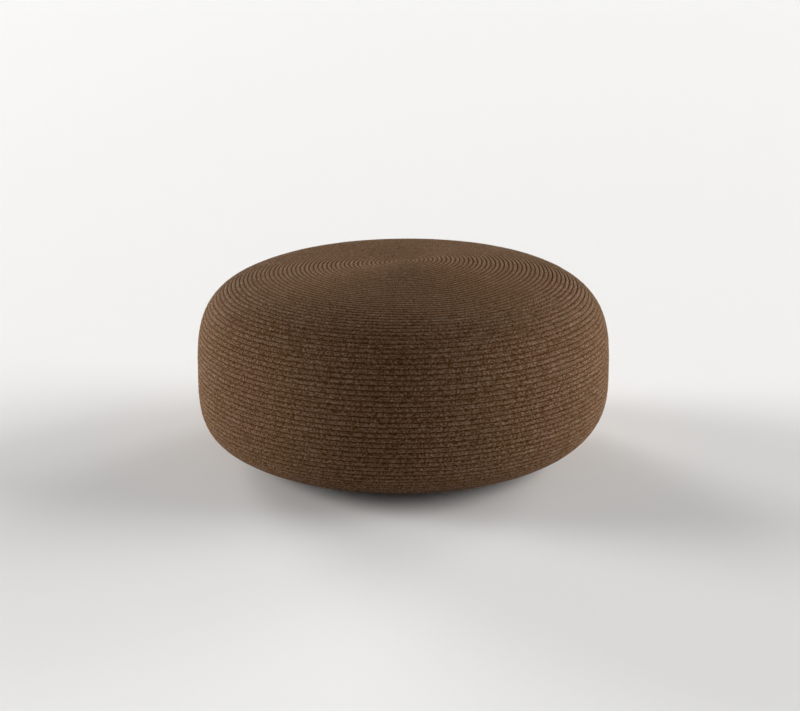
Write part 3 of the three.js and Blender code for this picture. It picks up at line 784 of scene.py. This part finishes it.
def slab(inner, outer, low, high, steps=5):
    """Closed outline of a thin band whose two edges are round."""
    half = (high - low) / 2
    middle = (high + low) / 2
    turn = np.linspace(-math.pi / 2, math.pi / 2, steps)
    right = np.column_stack([outer - half + half * np.cos(turn), middle + half * np.sin(turn)])
    left = np.column_stack([inner + half - half * np.cos(turn), middle - half * np.sin(turn)])
    return np.vstack([right, left])


def rod(radius, low, high):
    """Outline of a round bar."""
    return [(0, low), (radius, low), (radius, high), (0, high)]


def bevelled(outline, size, steps=4):
    """Rounds the corners of a closed outline, as far as its sides allow."""
    outline = np.asarray(outline, float)
    rounded = []
    for before, corner, after in zip(np.roll(outline, 1, 0), outline, np.roll(outline, -1, 0)):
        back, ahead = before - corner, after - corner
        reach_back, reach_ahead = np.hypot(*back), np.hypot(*ahead)
        cut = min(size, reach_back / 2, reach_ahead / 2)
        start, end = corner + back * cut / reach_back, corner + ahead * cut / reach_ahead
        for part in np.linspace(0, 1, steps):
            rounded.append((1 - part) ** 2 * start + 2 * part * (1 - part) * corner + part ** 2 * end)
    return np.array(rounded)


def evaluated_mesh(owner):
    """The plain mesh that an object's modifier makes."""
    depsgraph = bpy.context.evaluated_depsgraph_get()
    return bpy.data.meshes.new_from_object(owner.evaluated_get(depsgraph))


def cut_away(mesh, tool):
    """Cuts one closed mesh by another."""
    holder, cutter = (link(item.name, item) for item in (mesh, tool))
    modifier = holder.modifiers.new("cut", "BOOLEAN")
    modifier.operation = "DIFFERENCE"
    modifier.solver = "EXACT"
    modifier.object = cutter
    made = evaluated_mesh(holder)
    for item in (holder, cutter):
        bpy.data.objects.remove(item)
    outward(made)
    return made


class Recipe(Nodes):
    """A Geometry Nodes tree with named inputs. Given holds their sockets in order."""

    def __init__(self, name, **inputs):
        super().__init__(bpy.data.node_groups.new(name, "GeometryNodeTree"))
        self.tree.is_modifier = True
        face = self.tree.interface
        for way in ("INPUT", "OUTPUT"):
            face.new_socket("Geometry", in_out=way, socket_type="NodeSocketGeometry")
        finish = face.new_socket("Material", in_out="INPUT", socket_type="NodeSocketMaterial")
        self.finish_key = finish.identifier
        self.values = {}
        for key, value in inputs.items():
            kind = "NodeSocketInt" if isinstance(value, int) else "NodeSocketFloat"
            socket = face.new_socket(key.replace("_", " "), in_out="INPUT", socket_type=kind)
            socket.default_value = value
            self.values[socket.identifier] = value
        self.start = self.add("NodeGroupInput").outputs
        self.given = [self.start[key.replace("_", " ")] for key in inputs]

    def finish(self, geometry):
        """Realizes instances, sets the material and ends the tree."""
        real = self.add("GeometryNodeRealizeInstances", (geometry,))
        inputs = {"Geometry": real, "Material": self.start["Material"]}
        dressed = self.add("GeometryNodeSetMaterial", inputs)
        self.add("NodeGroupOutput", (self.add("GeometryNodeSetShadeSmooth", (dressed,)),))
        return self

    def make(self, data=None, material=None):
        """Runs the tree on some data and gives the plain mesh that it makes."""
        owner = link("source", data or bpy.data.meshes.new("empty"))
        modifier = owner.modifiers.new("recipe", "NODES")
        modifier.node_group = self.tree
        for key, value in self.values.items():
            modifier[key] = value
        if material is not None:
            modifier[self.finish_key] = material
        mesh = evaluated_mesh(owner)
        owner.modifiers.clear()
        bpy.data.objects.remove(owner)
        mesh.materials.clear()
        mesh.materials.append(material)
        mesh.polygons.foreach_set("material_index", np.zeros(len(mesh.polygons), np.int32))
        return mesh


def outlines_as_curve(*outlines):
    """A curve with one straight-edged spline for each outline, drawn in the X and Z plane."""
    curve = bpy.data.curves.new("outlines", "CURVE")
    curve.dimensions = "3D"
    for outline in outlines:
        spline = curve.splines.new("POLY")
        spline.points.add(len(outline) - 1)
        flat = [(radius, 0.0, height, 1.0) for radius, height in outline]
        spline.points.foreach_set("co", np.array(flat, np.float32).ravel())
    return curve


def sampled(nodes, curve, at, index):
    """Position and direction at a length along one of the curve's splines."""
    inputs = {"Curves": curve, "Length": at, "Curve Index": index}
    node = nodes.add("GeometryNodeSampleCurve", inputs, mode="LENGTH")
    return node.outputs["Position"], node.outputs["Tangent"]


def placed(nodes, geometry, radius, height, angle):
    """Moves points to a radius, height and angle, the angle running clockwise from the front."""
    x = nodes.times(radius, nodes.sine(angle), -1.0)
    y = nodes.times(radius, nodes.cosine(angle), -1.0)
    inputs = {"Geometry": geometry, "Position": nodes.combine(x, y, height)}
    return nodes.add("GeometryNodeSetPosition", inputs)


def ring(nodes, points, radius):
    return nodes.add("GeometryNodeMeshCircle", {"Vertices": points, "Radius": radius})


def tube(nodes, curve, thickness, sides):
    """A closed tube along a curve."""
    inputs = {"Resolution": sides, "Radius": nodes.times(thickness, 0.5)}
    section = nodes.add("GeometryNodeCurvePrimitiveCircle", inputs)
    inputs = {"Curve": curve, "Profile Curve": section, "Fill Caps": True}
    return nodes.add("GeometryNodeCurveToMesh", inputs)


def spiral_recipe(form, cord, outline_length, inside_length):
    """The cover: a cord wound in one spiral over the outline, and a plain inside joined at the hem."""
    r = Recipe(
        "spiral_cover",
        Sides=form.sides,
        Across=cord.across,
        Rounds=math.ceil(rounds_over(cord, outline_length)),
        Outline_Length=outline_length,
        Inside_Length=inside_length,
        Inside_Rings=INSIDE_RINGS,
        Top_Width=cord.top_width,
        Side_Width=cord.side_width,
        First_Wide=cord.first_wide,
        Last_Narrow=cord.last_narrow,
        Seam_Depth=cord.seam_depth,
        Unevenness=cord.unevenness,
    )
    sides, facets, rounds, outline_run, inside_run, inside_rings, *widths = r.given
    top_width, side_width, first_wide, last_narrow, seam_depth, unevenness = widths
    splines = r.start["Geometry"]
    index = r.add("GeometryNodeInputIndex")

    def row_of(rank, size):
        """Number of the row of some size that a whole-numbered rank falls in, and its place in the row."""
        row = r.floor(r.over(r.plus(rank, 0.5), size))
        return row, r.minus(rank, r.times(row, size))

    def grid(columns, rows):
        """A grid, and the column and row of each of its points."""
        inputs = {"Vertices X": columns, "Vertices Y": rows}
        return r.add("GeometryNodeMeshGrid", inputs), *row_of(index, rows)

    def bearing(side):
        return r.over(r.times(side, FULL_TURN), sides)

    steps = r.plus(r.times(r.plus(rounds, 1), sides), 1)
    flat, step, lane = grid(steps, r.plus(facets, 1))
    turn = r.over(step, sides)
    slant = r.cosine(r.times(r.over(lane, facets), math.pi))
    across = r.scaled(slant, -0.5, 0.5)
    spread = r.minus(last_narrow, first_wide)
    extra = r.minus(side_width, top_width)

    def run_at(rounds_done):
        """Length along the outline after so many rounds, by the two widths and a smooth step between."""
        share_done = r.over(r.minus(rounds_done, first_wide), spread)
        held = r.math("ADD", share_done, 0.0, clamp=True)
        cube = r.power(held, 3.0)
        bend = r.minus(cube, r.times(cube, held, 0.5))
        beyond = r.at_least(r.minus(share_done, 1.0), 0.0)
        wide = r.times(extra, spread, r.plus(bend, beyond))
        return r.at_most(r.at_least(r.scaled(rounds_done, top_width, wide), 0.0), outline_run)

    inner = run_at(r.minus(turn, 1.0))
    outer = run_at(turn)
    run = r.scaled(r.minus(outer, inner), across, inner)
    place, direction = sampled(r, splines, run, 0)
    radius, _, height = r.split(place)
    ahead, _, rise = r.split(direction)

    hump = r.minus(1.0, r.power(r.absolute(slant), RIDGE_POWER))
    ridge = r.power(r.at_least(hump, 0.0), 0.5)
    ends = r.at_most(run, r.minus(outline_run, run))
    fade = r.over(ends, top_width, clamp=True)
    middle, _ = sampled(r, splines, r.times(r.plus(inner, outer), 0.5), 0)
    step_length = r.over(r.times(r.split(middle)[0], FULL_TURN), sides)
    inputs = {"Value": step_length, "Group ID": lane}
    along = r.add("GeometryNodeAccumulateField", inputs, domain="POINT").outputs["Trailing"]
    inputs = {"W": along, "Scale": WAVERS, "Detail": 2.0}
    waver = r.add("ShaderNodeTexNoise", inputs, noise_dimensions="1D")
    wobble = r.times(r.minus(waver, 0.5), 2.0, unevenness, ridge)
    groove = r.times(r.minus(1.0, ridge), seam_depth)
    low = r.times(r.absolute(unevenness), ridge)
    depth = r.times(r.plus(groove, wobble, low), fade)
    sunk_radius = r.at_least(r.scaled(depth, rise, radius), 0.0)
    sunk_height = r.minus(height, r.times(depth, ahead))
    skin = placed(r, flat, sunk_radius, sunk_height, bearing(row_of(step, sides)[1]))
    at_points = r.add(
        "GeometryNodeFieldOnDomain", (r.combine(along, across),), data_type="FLOAT_VECTOR", domain="POINT"
    )
    inputs = {"Geometry": skin, "Name": "cord", "Value": at_points}
    mapped = r.add("GeometryNodeStoreNamedAttribute", inputs, data_type="FLOAT2", domain="CORNER")

    inside, spoke, row = grid(r.plus(sides, 1), r.plus(inside_rings, 1))
    inside_place, _ = sampled(r, splines, r.times(r.over(row, inside_rings), inside_run), 1)
    inside_radius, _, inside_height = r.split(inside_place)
    lined = placed(r, inside, inside_radius, inside_height, bearing(spoke))

    both = r.add("GeometryNodeJoinGeometry")
    for part in (mapped, lined):
        r.feed(both.inputs[0], part)
    return r.finish(r.add("GeometryNodeMergeByDistance", {"Geometry": both, "Distance": ROUND_WELD}))


def rounds_over(cord, outline_length):
    """How many rounds of cord lie over a length of the outline."""
    spread = cord.last_narrow - cord.first_wide
    before = cord.top_width * cord.first_wide + (cord.top_width + cord.side_width) / 2 * spread
    return cord.last_narrow + (outline_length - before) / cord.side_width


def move_points(mesh, change):
    points = np.zeros(len(mesh.vertices) * 3)
    mesh.vertices.foreach_get("co", points)
    mesh.vertices.foreach_set("co", change(points.reshape(-1, 3)).ravel())
    mesh.update()


class POUF_OT_cord_cover(bpy.types.Operator):
    """Winds the braided cord over the pouf and sews it round by round"""

    bl_idname = "pouf.cord_cover"
    bl_label = "Cord Cover"

    def execute(self, context):
        form, cord = context.scene.pouf_form, context.scene.pouf_cord
        base, low = base_radius(form), form.clearance
        high = low + cord.thickness
        outline = np.vstack([layer_outline(form, 0.0, low, base, COVER_STEPS), (form.hem, low)])
        inside = layer_outline(form, cord.thickness, high, base)[::-1]
        inside = np.vstack([(form.hem, low), (form.hem, high), inside])
        recipe = spiral_recipe(form, cord, line_length(outline), line_length(inside))
        mesh = recipe.make(outlines_as_curve(outline, inside), cord_finish(cord))
        move_points(mesh, lambda points: settle(points, form))
        outward(mesh)
        cover = add_piece("sewn_cord_cover", mesh, "braided_cord", "braid_cover", corner=None)
        return {"FINISHED"}


# Filling and board


def keep_part(outline, height, above):
    """The part of an outline above or below a height, ended at that height."""
    kept = []
    for i, (radius, z) in enumerate(outline):
        if i and (outline[i - 1][1] > height) != (z > height):
            last_radius, last_z = outline[i - 1]
            part = (last_z - height) / (last_z - z)
            kept.append((last_radius + (radius - last_radius) * part, height))
        if (z > height) == above:
            kept.append((radius, z))
    return kept


def rumpled(form, outer, amount, scale, stretch=(1.0, 1.0, 1.0)):
    """Settles a layer, and presses creases into the points of its outline that look outwards."""

    def change(points, size):
        rings = points.reshape(-1, size, 3)
        facing = rings[:, outer].reshape(-1, 3)
        away = facing - (0.0, 0.0, form.waist)
        away /= np.linalg.norm(away, axis=1)[:, None]
        press = [0.5 + 0.5 * noise.noise(Vector(place)) for place in facing * stretch * scale]
        moved = rings.copy()
        moved[:, outer] -= (amount * np.array(press)[:, None] * away).reshape(moved[:, outer].shape)
        return settle(moved.reshape(-1, 3), form)

    return change


class POUF_OT_filling(bpy.types.Operator):
    """Fills the cover: foam, wadding over it, and a lining bag round both"""

    bl_idname = "pouf.filling"
    bl_label = "Filling"

    def execute(self, context):
        form, layers = context.scene.pouf_form, context.scene.pouf_filling
        gap = layers.soft_gap
        drop = reach("base_board") + gap
        foot = bottom("core_foam")
        wrap = bottom("fibre_wadding")
        bag_depth = context.scene.pouf_cord.thickness + gap
        wrap_depth = bag_depth + layers.lining + gap
        foam_depth = wrap_depth + layers.wadding + gap

        def outline(depth, floor):
            return layer_outline(form, depth, floor, base_radius(form))

        low = bottom("inner_lining")
        bag_floor = wrap - gap - layers.lining
        lining = np.vstack([
            (drop - layers.lip, low),
            (drop + layers.lining, low),
            (drop + layers.lining, bag_floor),
            outline(bag_depth, bag_floor)[::-1],
            outline(bag_depth + layers.lining, bag_floor + layers.lining),
            (drop, bag_floor + layers.lining),
            (drop, low + layers.lining),
            (drop - layers.lip, low + layers.lining),
        ])
        wadding = np.vstack([
            (drop, wrap),
            outline(wrap_depth, wrap)[::-1],
            outline(foam_depth - gap, foot - gap),
            (drop, foot - gap),
        ])
        foam = outline(foam_depth, foot)
        seat = [(0, bottom("seat_foam")), *keep_part(foam, bottom("seat_foam"), True)[::-1]]
        core = [(0, foot), *keep_part(foam, top("core_foam"), False)[::-1], (0, top("core_foam"))]
        outer = len(foam)
        creased = rumpled(form, slice(3, 3 + outer), layers.pucker, CREASES, (1.0, 1.0, 0.35))
        lumpy = rumpled(form, slice(1, 1 + outer), layers.lump, LUMPS)

        def plain(points, _):
            return settle(points, form)

        cotton = lining_finish(layers.lining_colour)
        fibre = wadding_finish(layers.wadding_colour)
        soft = foam_finish("soft_foam_cells", layers.soft_foam, SOFT_CELL)
        firm = foam_finish("firm_foam_cells", layers.firm_foam, FIRM_CELL)
        rows = (
            ("lining_bag", lining, creased, cotton, "lining_cloth", "inner_lining", 0.85),
            ("wadding_wrap", wadding, lumpy, fibre, "wadding", "fibre_wadding", 0.6),
            ("soft_seat_foam", seat, plain, soft, "soft_foam", "seat_foam", 0.8),
            ("firm_core_foam", core, plain, firm, "firm_foam", "core_foam", 0.95),
        )
        for name, line, change, material, slot, node, fill in rows:
            mesh = sweep(line, form.sides, change=change)
            piece = add_piece(name, mesh, slot, node, material=material, corner=SOFT_CORNER)
        return {"FINISHED"}


def copies_recipe(copies, circle):
    """Puts copies of a piece on a circle round the middle."""
    r = Recipe("copies_on_circle", Copies=copies, Circle=circle)
    inputs = {"Points": ring(r, *r.given), "Instance": r.start["Geometry"]}
    return r.finish(r.add("GeometryNodeInstanceOnPoints", inputs))


class POUF_OT_board(bpy.types.Operator):
    """Cuts the round board, its drain holes and the recesses for the tee nuts"""

    bl_idname = "pouf.board"
    bl_label = "Board"

    def execute(self, context):
        form, layers, feet = context.scene.pouf_form, context.scene.pouf_filling, context.scene.pouf_feet
        low, high, edge = bottom("base_board"), top("base_board"), reach("base_board")
        inset = edge - MM
        outline = [(0, low), (inset, low), (edge, low + MM), (edge, high - MM), (inset, high), (0, high)]
        board = sweep(outline, form.sides)
        flange = half_width("tee_nut_2") + MM
        seat = top("tee_nut_2") - feet.nut_flange - layers.soft_gap
        barrel = feet.bore + feet.nut_wall + layers.soft_gap
        drain = rod(layers.drain, low - MM, high + MM)
        pocket = [*rod(barrel, low - MM, seat)[:3], *rod(flange, seat, high + MM)[1:]]
        for hole, copies, circle in (
            (drain, layers.drains, layers.drain_circle),
            (pocket, feet.number, foot_circle()),
        ):
            board = cut_away(board, copies_recipe(copies, circle).make(sweep(hole, HOLE_SIDES)))
        material = plywood_finish(layers.timber)
        add_piece("drained_base_board", board, "board", "base_board", material=material)
        return {"FINISHED"}


# Underside


class POUF_OT_hem(bpy.types.Operator):
    """Folds the binding round the cover's cut edge"""

    bl_idname = "pouf.hem"
    bl_label = "Hem"

    def execute(self, context):
        under = context.scene.pouf_underside
        low, high, outer = bottom("hem_binding"), top("hem_binding"), reach("hem_binding")
        inner = outer - under.binding
        fold = under.fold
        outline = [(outer, low), (inner, low), (inner, high), (outer, high), (outer, high - fold),
                   (inner + fold, high - fold), (inner + fold, low + fold), (outer, low + fold)]
        mesh = sweep(bevelled(outline, 0.45 * fold), context.scene.pouf_form.sides)
        material = webbing_finish("woven_binding", under.binding_colour, BINDING_PITCH)
        add_piece("folded_hem_binding", mesh, "binding_tape", "hem_binding", material=material)
        return {"FINISHED"}


class POUF_OT_base_cloth(bpy.types.Operator):
    """Stretches the open mesh cloth over the base"""

    bl_idname = "pouf.base_cloth"
    bl_label = "Base Cloth"

    def execute(self, context):
        under, feet, form = context.scene.pouf_underside, context.scene.pouf_feet, context.scene.pouf_form
        low, high, edge = bottom("base_panel"), top("base_panel"), reach("base_panel")
        rings = np.linspace(0, edge, CLOTH_RINGS)
        slack = np.clip(1 - (rings / (foot_circle() - 2 * feet.spigot)) ** 2, 0, None) ** 2 * under.sag
        under_line = np.column_stack([rings, low - slack])
        over_line = np.column_stack([rings, high - slack])[::-1]
        cloth = sweep(np.vstack([under_line, over_line]), form.sides)
        drill = sweep(rod(feet.spigot + HOLE_GAP, low - 5 * MM, high + MM), HOLE_SIDES)
        cloth = cut_away(cloth, copies_recipe(feet.number, foot_circle()).make(drill))
        material = mesh_cloth_finish(under.cloth_colour)
        piece = add_piece("mesh_base_cloth", cloth, "base_cloth", "base_panel", material=material)
        return {"FINISHED"}


class POUF_OT_zip(bpy.types.Operator):
    """Lays the zip's tapes, winds its coils and finishes its metal parts"""

    bl_idname = "pouf.zip"
    bl_label = "Zip"

    def execute(self, context):
        under, form = context.scene.pouf_underside, context.scene.pouf_form
        half = under.zip_arc / 2
        low, high = bottom("zip_tape_inner"), top("zip_tape_inner")
        outer_edge, inner_row = reach("zip_tape_outer"), reach("zip_tape_inner")
        inner_edge, outer_row = inner_row - under.tape, outer_edge - under.tape
        weave = webbing_finish("zip_tape_weave", under.tape_colour, TAPE_PITCH)
        binding = webbing_finish("webbing_weave", under.binding_colour, BINDING_PITCH)
        ends, rest = (-half, half), (half + SEAM_ANGLE, FULL_TURN - half - SEAM_ANGLE)
        tapes = (
            ("woven_zip_tape_outer", outer_row, outer_edge, ends, weave, "zip_tape", "zip_tape_outer"),
            ("woven_zip_tape_inner", inner_edge, inner_row, ends, weave, "zip_tape", "zip_tape_inner"),
            ("woven_seam_webbing", inner_edge, outer_edge, rest, binding, "binding_tape", "seam_webbing"),
        )
        for name, inner, outer, (start, end), material, slot, node in tapes:
            steps = int(form.sides * (end - start) / FULL_TURN)
            mesh = sweep(slab(inner, outer, low, high), steps, start, end)
            add_piece(name, mesh, slot, node, material=material)

        plastic = moulded_finish("coil_filament", under.coil_colour, 0.4)
        reach_in = (outer_row - inner_row) / 2 + under.bite
        width = under.coil + reach_in
        turns = int(under.zip_arc * (outer_row + inner_row) / 2 / under.coil_pitch)
        for name, middle, node in (
            ("wound_zip_coil_outer", outer_row - reach_in + width / 2, "zip_coil_outer"),
            ("wound_zip_coil_inner", inner_row + reach_in - width / 2, "zip_coil_inner"),
        ):
            recipe = coil_recipe(under, turns, middle, width, bottom(node), top(node))
            add_piece(name, recipe.make(material=plastic), "zip_coil", node, corner=None)
        metal = metal_finish("dark_zip_metal", under.metal_colour, 0.34)
        for node in ("zip_slider", "zip_pull", "zip_stop_outer", "zip_stop_inner", "zip_stop_joining"):
            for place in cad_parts[node].material_slots:
                place.material = metal
        return {"FINISHED"}


def coil_recipe(under, turns, middle, width, low, high):
    """One coil of the zip: a filament wound in flat turns along an arc."""
    r = Recipe(
        "zip_coil",
        Points=turns * COIL_STEPS + 1,
        Middle=middle,
        Half_Width=(width - under.filament) / 2,
        Level=(low + high) / 2,
        Half_Height=(high - low - under.filament) / 2,
        Half_Arc=under.zip_arc / 2,
        Filament=under.filament,
    )
    points, axis, across, level, rise, half_arc, filament = r.given
    index = r.add("GeometryNodeInputIndex")
    along = r.over(index, r.minus(points, 1))
    angle = r.times(r.scaled(along, 2.0, -1.0), half_arc)
    phase = r.times(index, FULL_TURN / COIL_STEPS)
    radius = r.scaled(r.cosine(phase), across, axis)
    height = r.scaled(r.sine(phase), rise, level)
    line = r.add("GeometryNodeMeshLine", {"Count": points})
    wire = r.add("GeometryNodeMeshToCurve", (placed(r, line, radius, height, angle),))
    return r.finish(tube(r, wire, filament, COIL_SIDES))


class POUF_OT_stitches(bpy.types.Operator):
    """Sews the rows of stitches along the binding and the base cloth"""

    bl_idname = "pouf.stitches"
    bl_label = "Stitches"

    def execute(self, context):
        under = context.scene.pouf_underside
        finish = webbing_finish("sewing_thread", under.thread_colour, THREAD_PITCH, 0.7)
        hem, panel = reach("hem_binding"), reach("base_panel")
        rows = (
            ("hem_stitches_outer", hem - ROW_INSET, bottom("hem_binding")),
            ("hem_stitches_inner", hem - under.binding + INNER_INSET, bottom("hem_binding")),
            ("panel_stitches_outer", panel - ROW_INSET, bottom("base_panel")),
            ("panel_stitches_inner", panel - SECOND_ROW, bottom("base_panel")),
        )
        for name, radius, height in rows:
            mesh = stitch_recipe(under, radius, height).make(material=finish)
            add_piece(name, mesh, "binding_tape", corner=None)
        return {"FINISHED"}


def stitch_recipe(under, radius, height):
    """A round of stitches, each a short thread that bows out from the cloth."""
    r = Recipe(
        "stitch_row",
        Stitches=int(FULL_TURN * radius / under.stitch_step),
        Radius=radius,
        Height=height,
        Length=under.stitch,
        Thread=under.thread,
    )
    stitches, circle, level, length_each, thread = r.given
    half = r.times(length_each, 0.5)
    sunk = r.times(thread, 0.6)
    line = r.add("GeometryNodeCurveQuadraticBezier", {
        "Resolution": STITCH_STEPS,
        "Start": r.combine(y=r.times(half, -1.0), z=sunk),
        "Middle": r.combine(z=r.times(thread, -0.5)),
        "End": r.combine(y=half, z=sunk),
    })
    inputs = {"Geometry": ring(r, stitches, circle), "Translation": r.combine(z=level)}
    holes = r.add("GeometryNodeTransform", inputs)
    index = r.add("GeometryNodeInputIndex")
    sewn = r.add("GeometryNodeInstanceOnPoints", {
        "Points": holes,
        "Instance": tube(r, line, thread, STITCH_SIDES),
        "Rotation": r.combine(z=r.over(r.times(index, FULL_TURN), stitches)),
    })
    return r.finish(sewn)


# Feet


class POUF_OT_feet(bpy.types.Operator):
    """Moulds the feet and their pads, and turns the screws and tee nuts that hold them"""

    bl_idname = "pouf.feet"
    bl_label = "Feet"

    def execute(self, context):
        feet = context.scene.pouf_feet
        plastic = moulded_finish("foot_plastic_finish", feet.plastic, 0.45)
        rubber = moulded_finish("pad_rubber_finish", feet.rubber, 0.85)
        plated = metal_finish("zinc_plated_steel", feet.steel, 0.28)
        pressed = metal_finish("pressed_steel", feet.steel, 0.38)
        rows = (
            ("moulded_feet", foot_outline(feet), plastic, "foot_plastic", "foot_"),
            ("grooved_foot_pads", pad_outline(feet), rubber, "pad_rubber", "foot_pad_"),
            ("foot_screws", screw_outline(feet), plated, "steel", "foot_screw_"),
            ("tee_nuts", nut_outline(feet), pressed, "steel", "tee_nut_"),
        )
        for name, outline, finish, slot, stem in rows:
            mesh = copies_recipe(feet.number, foot_circle()).make(sweep(outline, FOOT_SIDES), finish)
            nodes = [stem + str(i + 1) for i in range(feet.number)]
            add_piece(name, mesh, slot, *nodes)
        return {"FINISHED"}


def foot_outline(feet):
    low, high, edge = bottom("foot_2"), top("foot_2"), half_width("foot_2")
    rest = bottom("base_panel") - SEAT_GAP
    head_top = bottom("foot_screw_2") + feet.head_height + SEAT_GAP
    return bevelled([
        (feet.head_bore, low),
        (edge - feet.edge, low),
        (edge, low + feet.edge),
        (edge, rest),
        (feet.spigot, rest),
        (feet.spigot, high),
        (feet.bore, high),
        (feet.bore, head_top),
        (feet.head_bore, head_top),
    ], 0.5 * MM)


def pad_outline(feet):
    low, high, edge = bottom("foot_pad_2"), top("foot_pad_2"), half_width("foot_pad_2")
    step = edge / (feet.grooves + 1)
    line = [(0.0, low)]
    for i in range(feet.grooves):
        middle = step * (i + 1)
        for side, depth in ((-0.2, 0.0), (-0.1, feet.groove), (0.1, feet.groove), (0.2, 0.0)):
            line.append((middle + side * step, low + depth))
    chamfer = 0.3 * MM
    line += [(edge - MM, low), (edge - chamfer, low + chamfer), (edge, low + MM), (edge, high), (0.0, high)]
    return line


def screw_outline(feet):
    low, high, head = bottom("foot_screw_2"), top("foot_screw_2"), half_width("foot_screw_2")
    neck = low + feet.head_height
    line = [(0.0, low), (0.7 * head, low), (0.93 * head, low + 0.15 * feet.head_height),
            (head, low + 0.5 * feet.head_height), (head, neck), (feet.screw, neck)]
    root = feet.screw - 0.5 * feet.thread_pitch
    for i in range(int((high - neck) / feet.thread_pitch) - 1):
        start = neck + (i + 0.5) * feet.thread_pitch
        line += [(root, start), (feet.screw, start + 0.5 * feet.thread_pitch)]
    return line + [(root, high), (0.0, high)]


def nut_outline(feet):
    low, high, flange = bottom("tee_nut_2"), top("tee_nut_2"), half_width("tee_nut_2")
    barrel = feet.bore + feet.nut_wall
    return bevelled([(feet.bore, low), (barrel, low), (barrel, high - feet.nut_flange),
                     (flange, high - feet.nut_flange), (flange, high), (feet.bore, high)], 0.3 * MM)


# Studio


class POUF_OT_studio(bpy.types.Operator):
    """Sets the floor, the backdrop, the lamps and the camera"""

    bl_idname = "pouf.studio"
    bl_label = "Studio"

    def execute(self, context):
        studio = context.scene.pouf_studio
        add_floor(studio)
        for lamp in LAMPS:
            add_lamp(*lamp)
        add_world(studio)
        add_camera(studio)
        context.scene.view_settings.view_transform = "Standard"
        return {"FINISHED"}


def add_floor(studio):
    far = 40.0
    corners = [(far * x, far * y, 0.0) for x, y in ((-1, -1), (1, -1), (1, 1), (-1, 1))]
    mesh = bpy.data.meshes.new("studio_floor")
    mesh.from_pydata(corners, [], [(0, 1, 2, 3)])
    mesh.materials.append(Finish("pale_floor", Base_Color=opaque(studio.floor), Roughness=0.9).material)
    link("studio_floor", mesh)


def add_lamp(name, bearing, elevation, spread, level):
    """A wide far lamp. Bearing 0 is the camera's side and 90 the right. At level 1 white renders white."""
    lamp = bpy.data.lights.new(name, "SUN")
    lamp.angle = math.radians(spread)
    lamp.energy = math.pi * level
    across, up = math.radians(bearing), math.radians(elevation)
    toward = Vector((math.sin(across) * math.cos(up), -math.cos(across) * math.cos(up), math.sin(up)))
    holder = link(name, lamp)
    holder.location = 3 * toward
    holder.rotation_euler = toward.to_track_quat("Z", "Y").to_euler()


def add_world(studio):
    """Even light all round, with a white backdrop for the camera, for gloss and through glass."""
    world = bpy.data.worlds.new("studio_world")
    world.use_nodes = True
    nodes = Nodes(world.node_tree)
    world.node_tree.nodes.clear()
    ray = nodes.add("ShaderNodeLightPath").outputs
    seen = nodes.at_least(ray["Is Camera Ray"], ray["Is Glossy Ray"])
    seen = nodes.at_least(seen, ray["Is Transmission Ray"])
    strength = nodes.remap(seen, 0.0, 1.0, studio.fill_light, 1.0)
    glow = nodes.add("ShaderNodeBackground", {"Color": (1.0, 1.0, 1.0, 1.0), "Strength": strength})
    nodes.add("ShaderNodeOutputWorld", (glow,))
    bpy.context.scene.world = world


def add_camera(studio):
    lens_data = bpy.data.cameras.new("photo_camera")
    photo_width = 800
    lens_data.lens = lens_data.sensor_width * studio.focal_pixels / photo_width
    lens_data.shift_x = (photo_width / 2 - studio.middle_pixel) / photo_width
    camera = link("photo_camera", lens_data)
    back = Vector((0.0, -math.cos(studio.elevation), math.sin(studio.elevation)))
    camera.location = Vector((0.0, 0.0, studio.aim)) + studio.distance * back
    camera.rotation_euler = (-back).to_track_quat("-Z", "Y").to_euler()
    bpy.context.scene.camera = camera


OPERATORS = (
    POUF_OT_studio,
    POUF_OT_cord_cover,
    POUF_OT_filling,
    POUF_OT_board,
    POUF_OT_hem,
    POUF_OT_base_cloth,
    POUF_OT_zip,
    POUF_OT_stitches,
    POUF_OT_feet,
)


class POUF_PT_build(bpy.types.Panel):
    """Lists the steps that make the pouf"""

    bl_label = "Braided Cord Pouf"
    bl_idname = "POUF_PT_build"
    bl_space_type = "VIEW_3D"
    bl_region_type = "UI"
    bl_category = "Pouf"

    def draw(self, context):
        for operator in OPERATORS:
            self.layout.operator(operator.bl_idname)
        for settings in SETTINGS:
            group = getattr(context.scene, settings)
            for key in group.__annotations__:
                self.layout.prop(group, key)


SETTINGS = {
    "pouf_form": PoufForm,
    "pouf_cord": CordCover,
    "pouf_filling": Filling,
    "pouf_underside": Underside,
    "pouf_feet": Feet,
    "pouf_studio": Studio,
}
CLASSES = (*SETTINGS.values(), *OPERATORS, POUF_PT_build)


def register():
    for item in CLASSES:
        bpy.utils.register_class(item)
    for key, group in SETTINGS.items():
        setattr(bpy.types.Scene, key, bpy.props.PointerProperty(type=group))


def unregister():
    for key in SETTINGS:
        delattr(bpy.types.Scene, key)
    for item in reversed(CLASSES):
        bpy.utils.unregister_class(item)


def main():
    register()
    bpy.ops.pouf.studio()
    bpy.ops.pouf.cord_cover()
    bpy.ops.pouf.filling()
    bpy.ops.pouf.board()
    bpy.ops.pouf.hem()
    bpy.ops.pouf.base_cloth()
    bpy.ops.pouf.zip()
    bpy.ops.pouf.stitches()
    bpy.ops.pouf.feet()


if __name__ == "__main__":
    main()
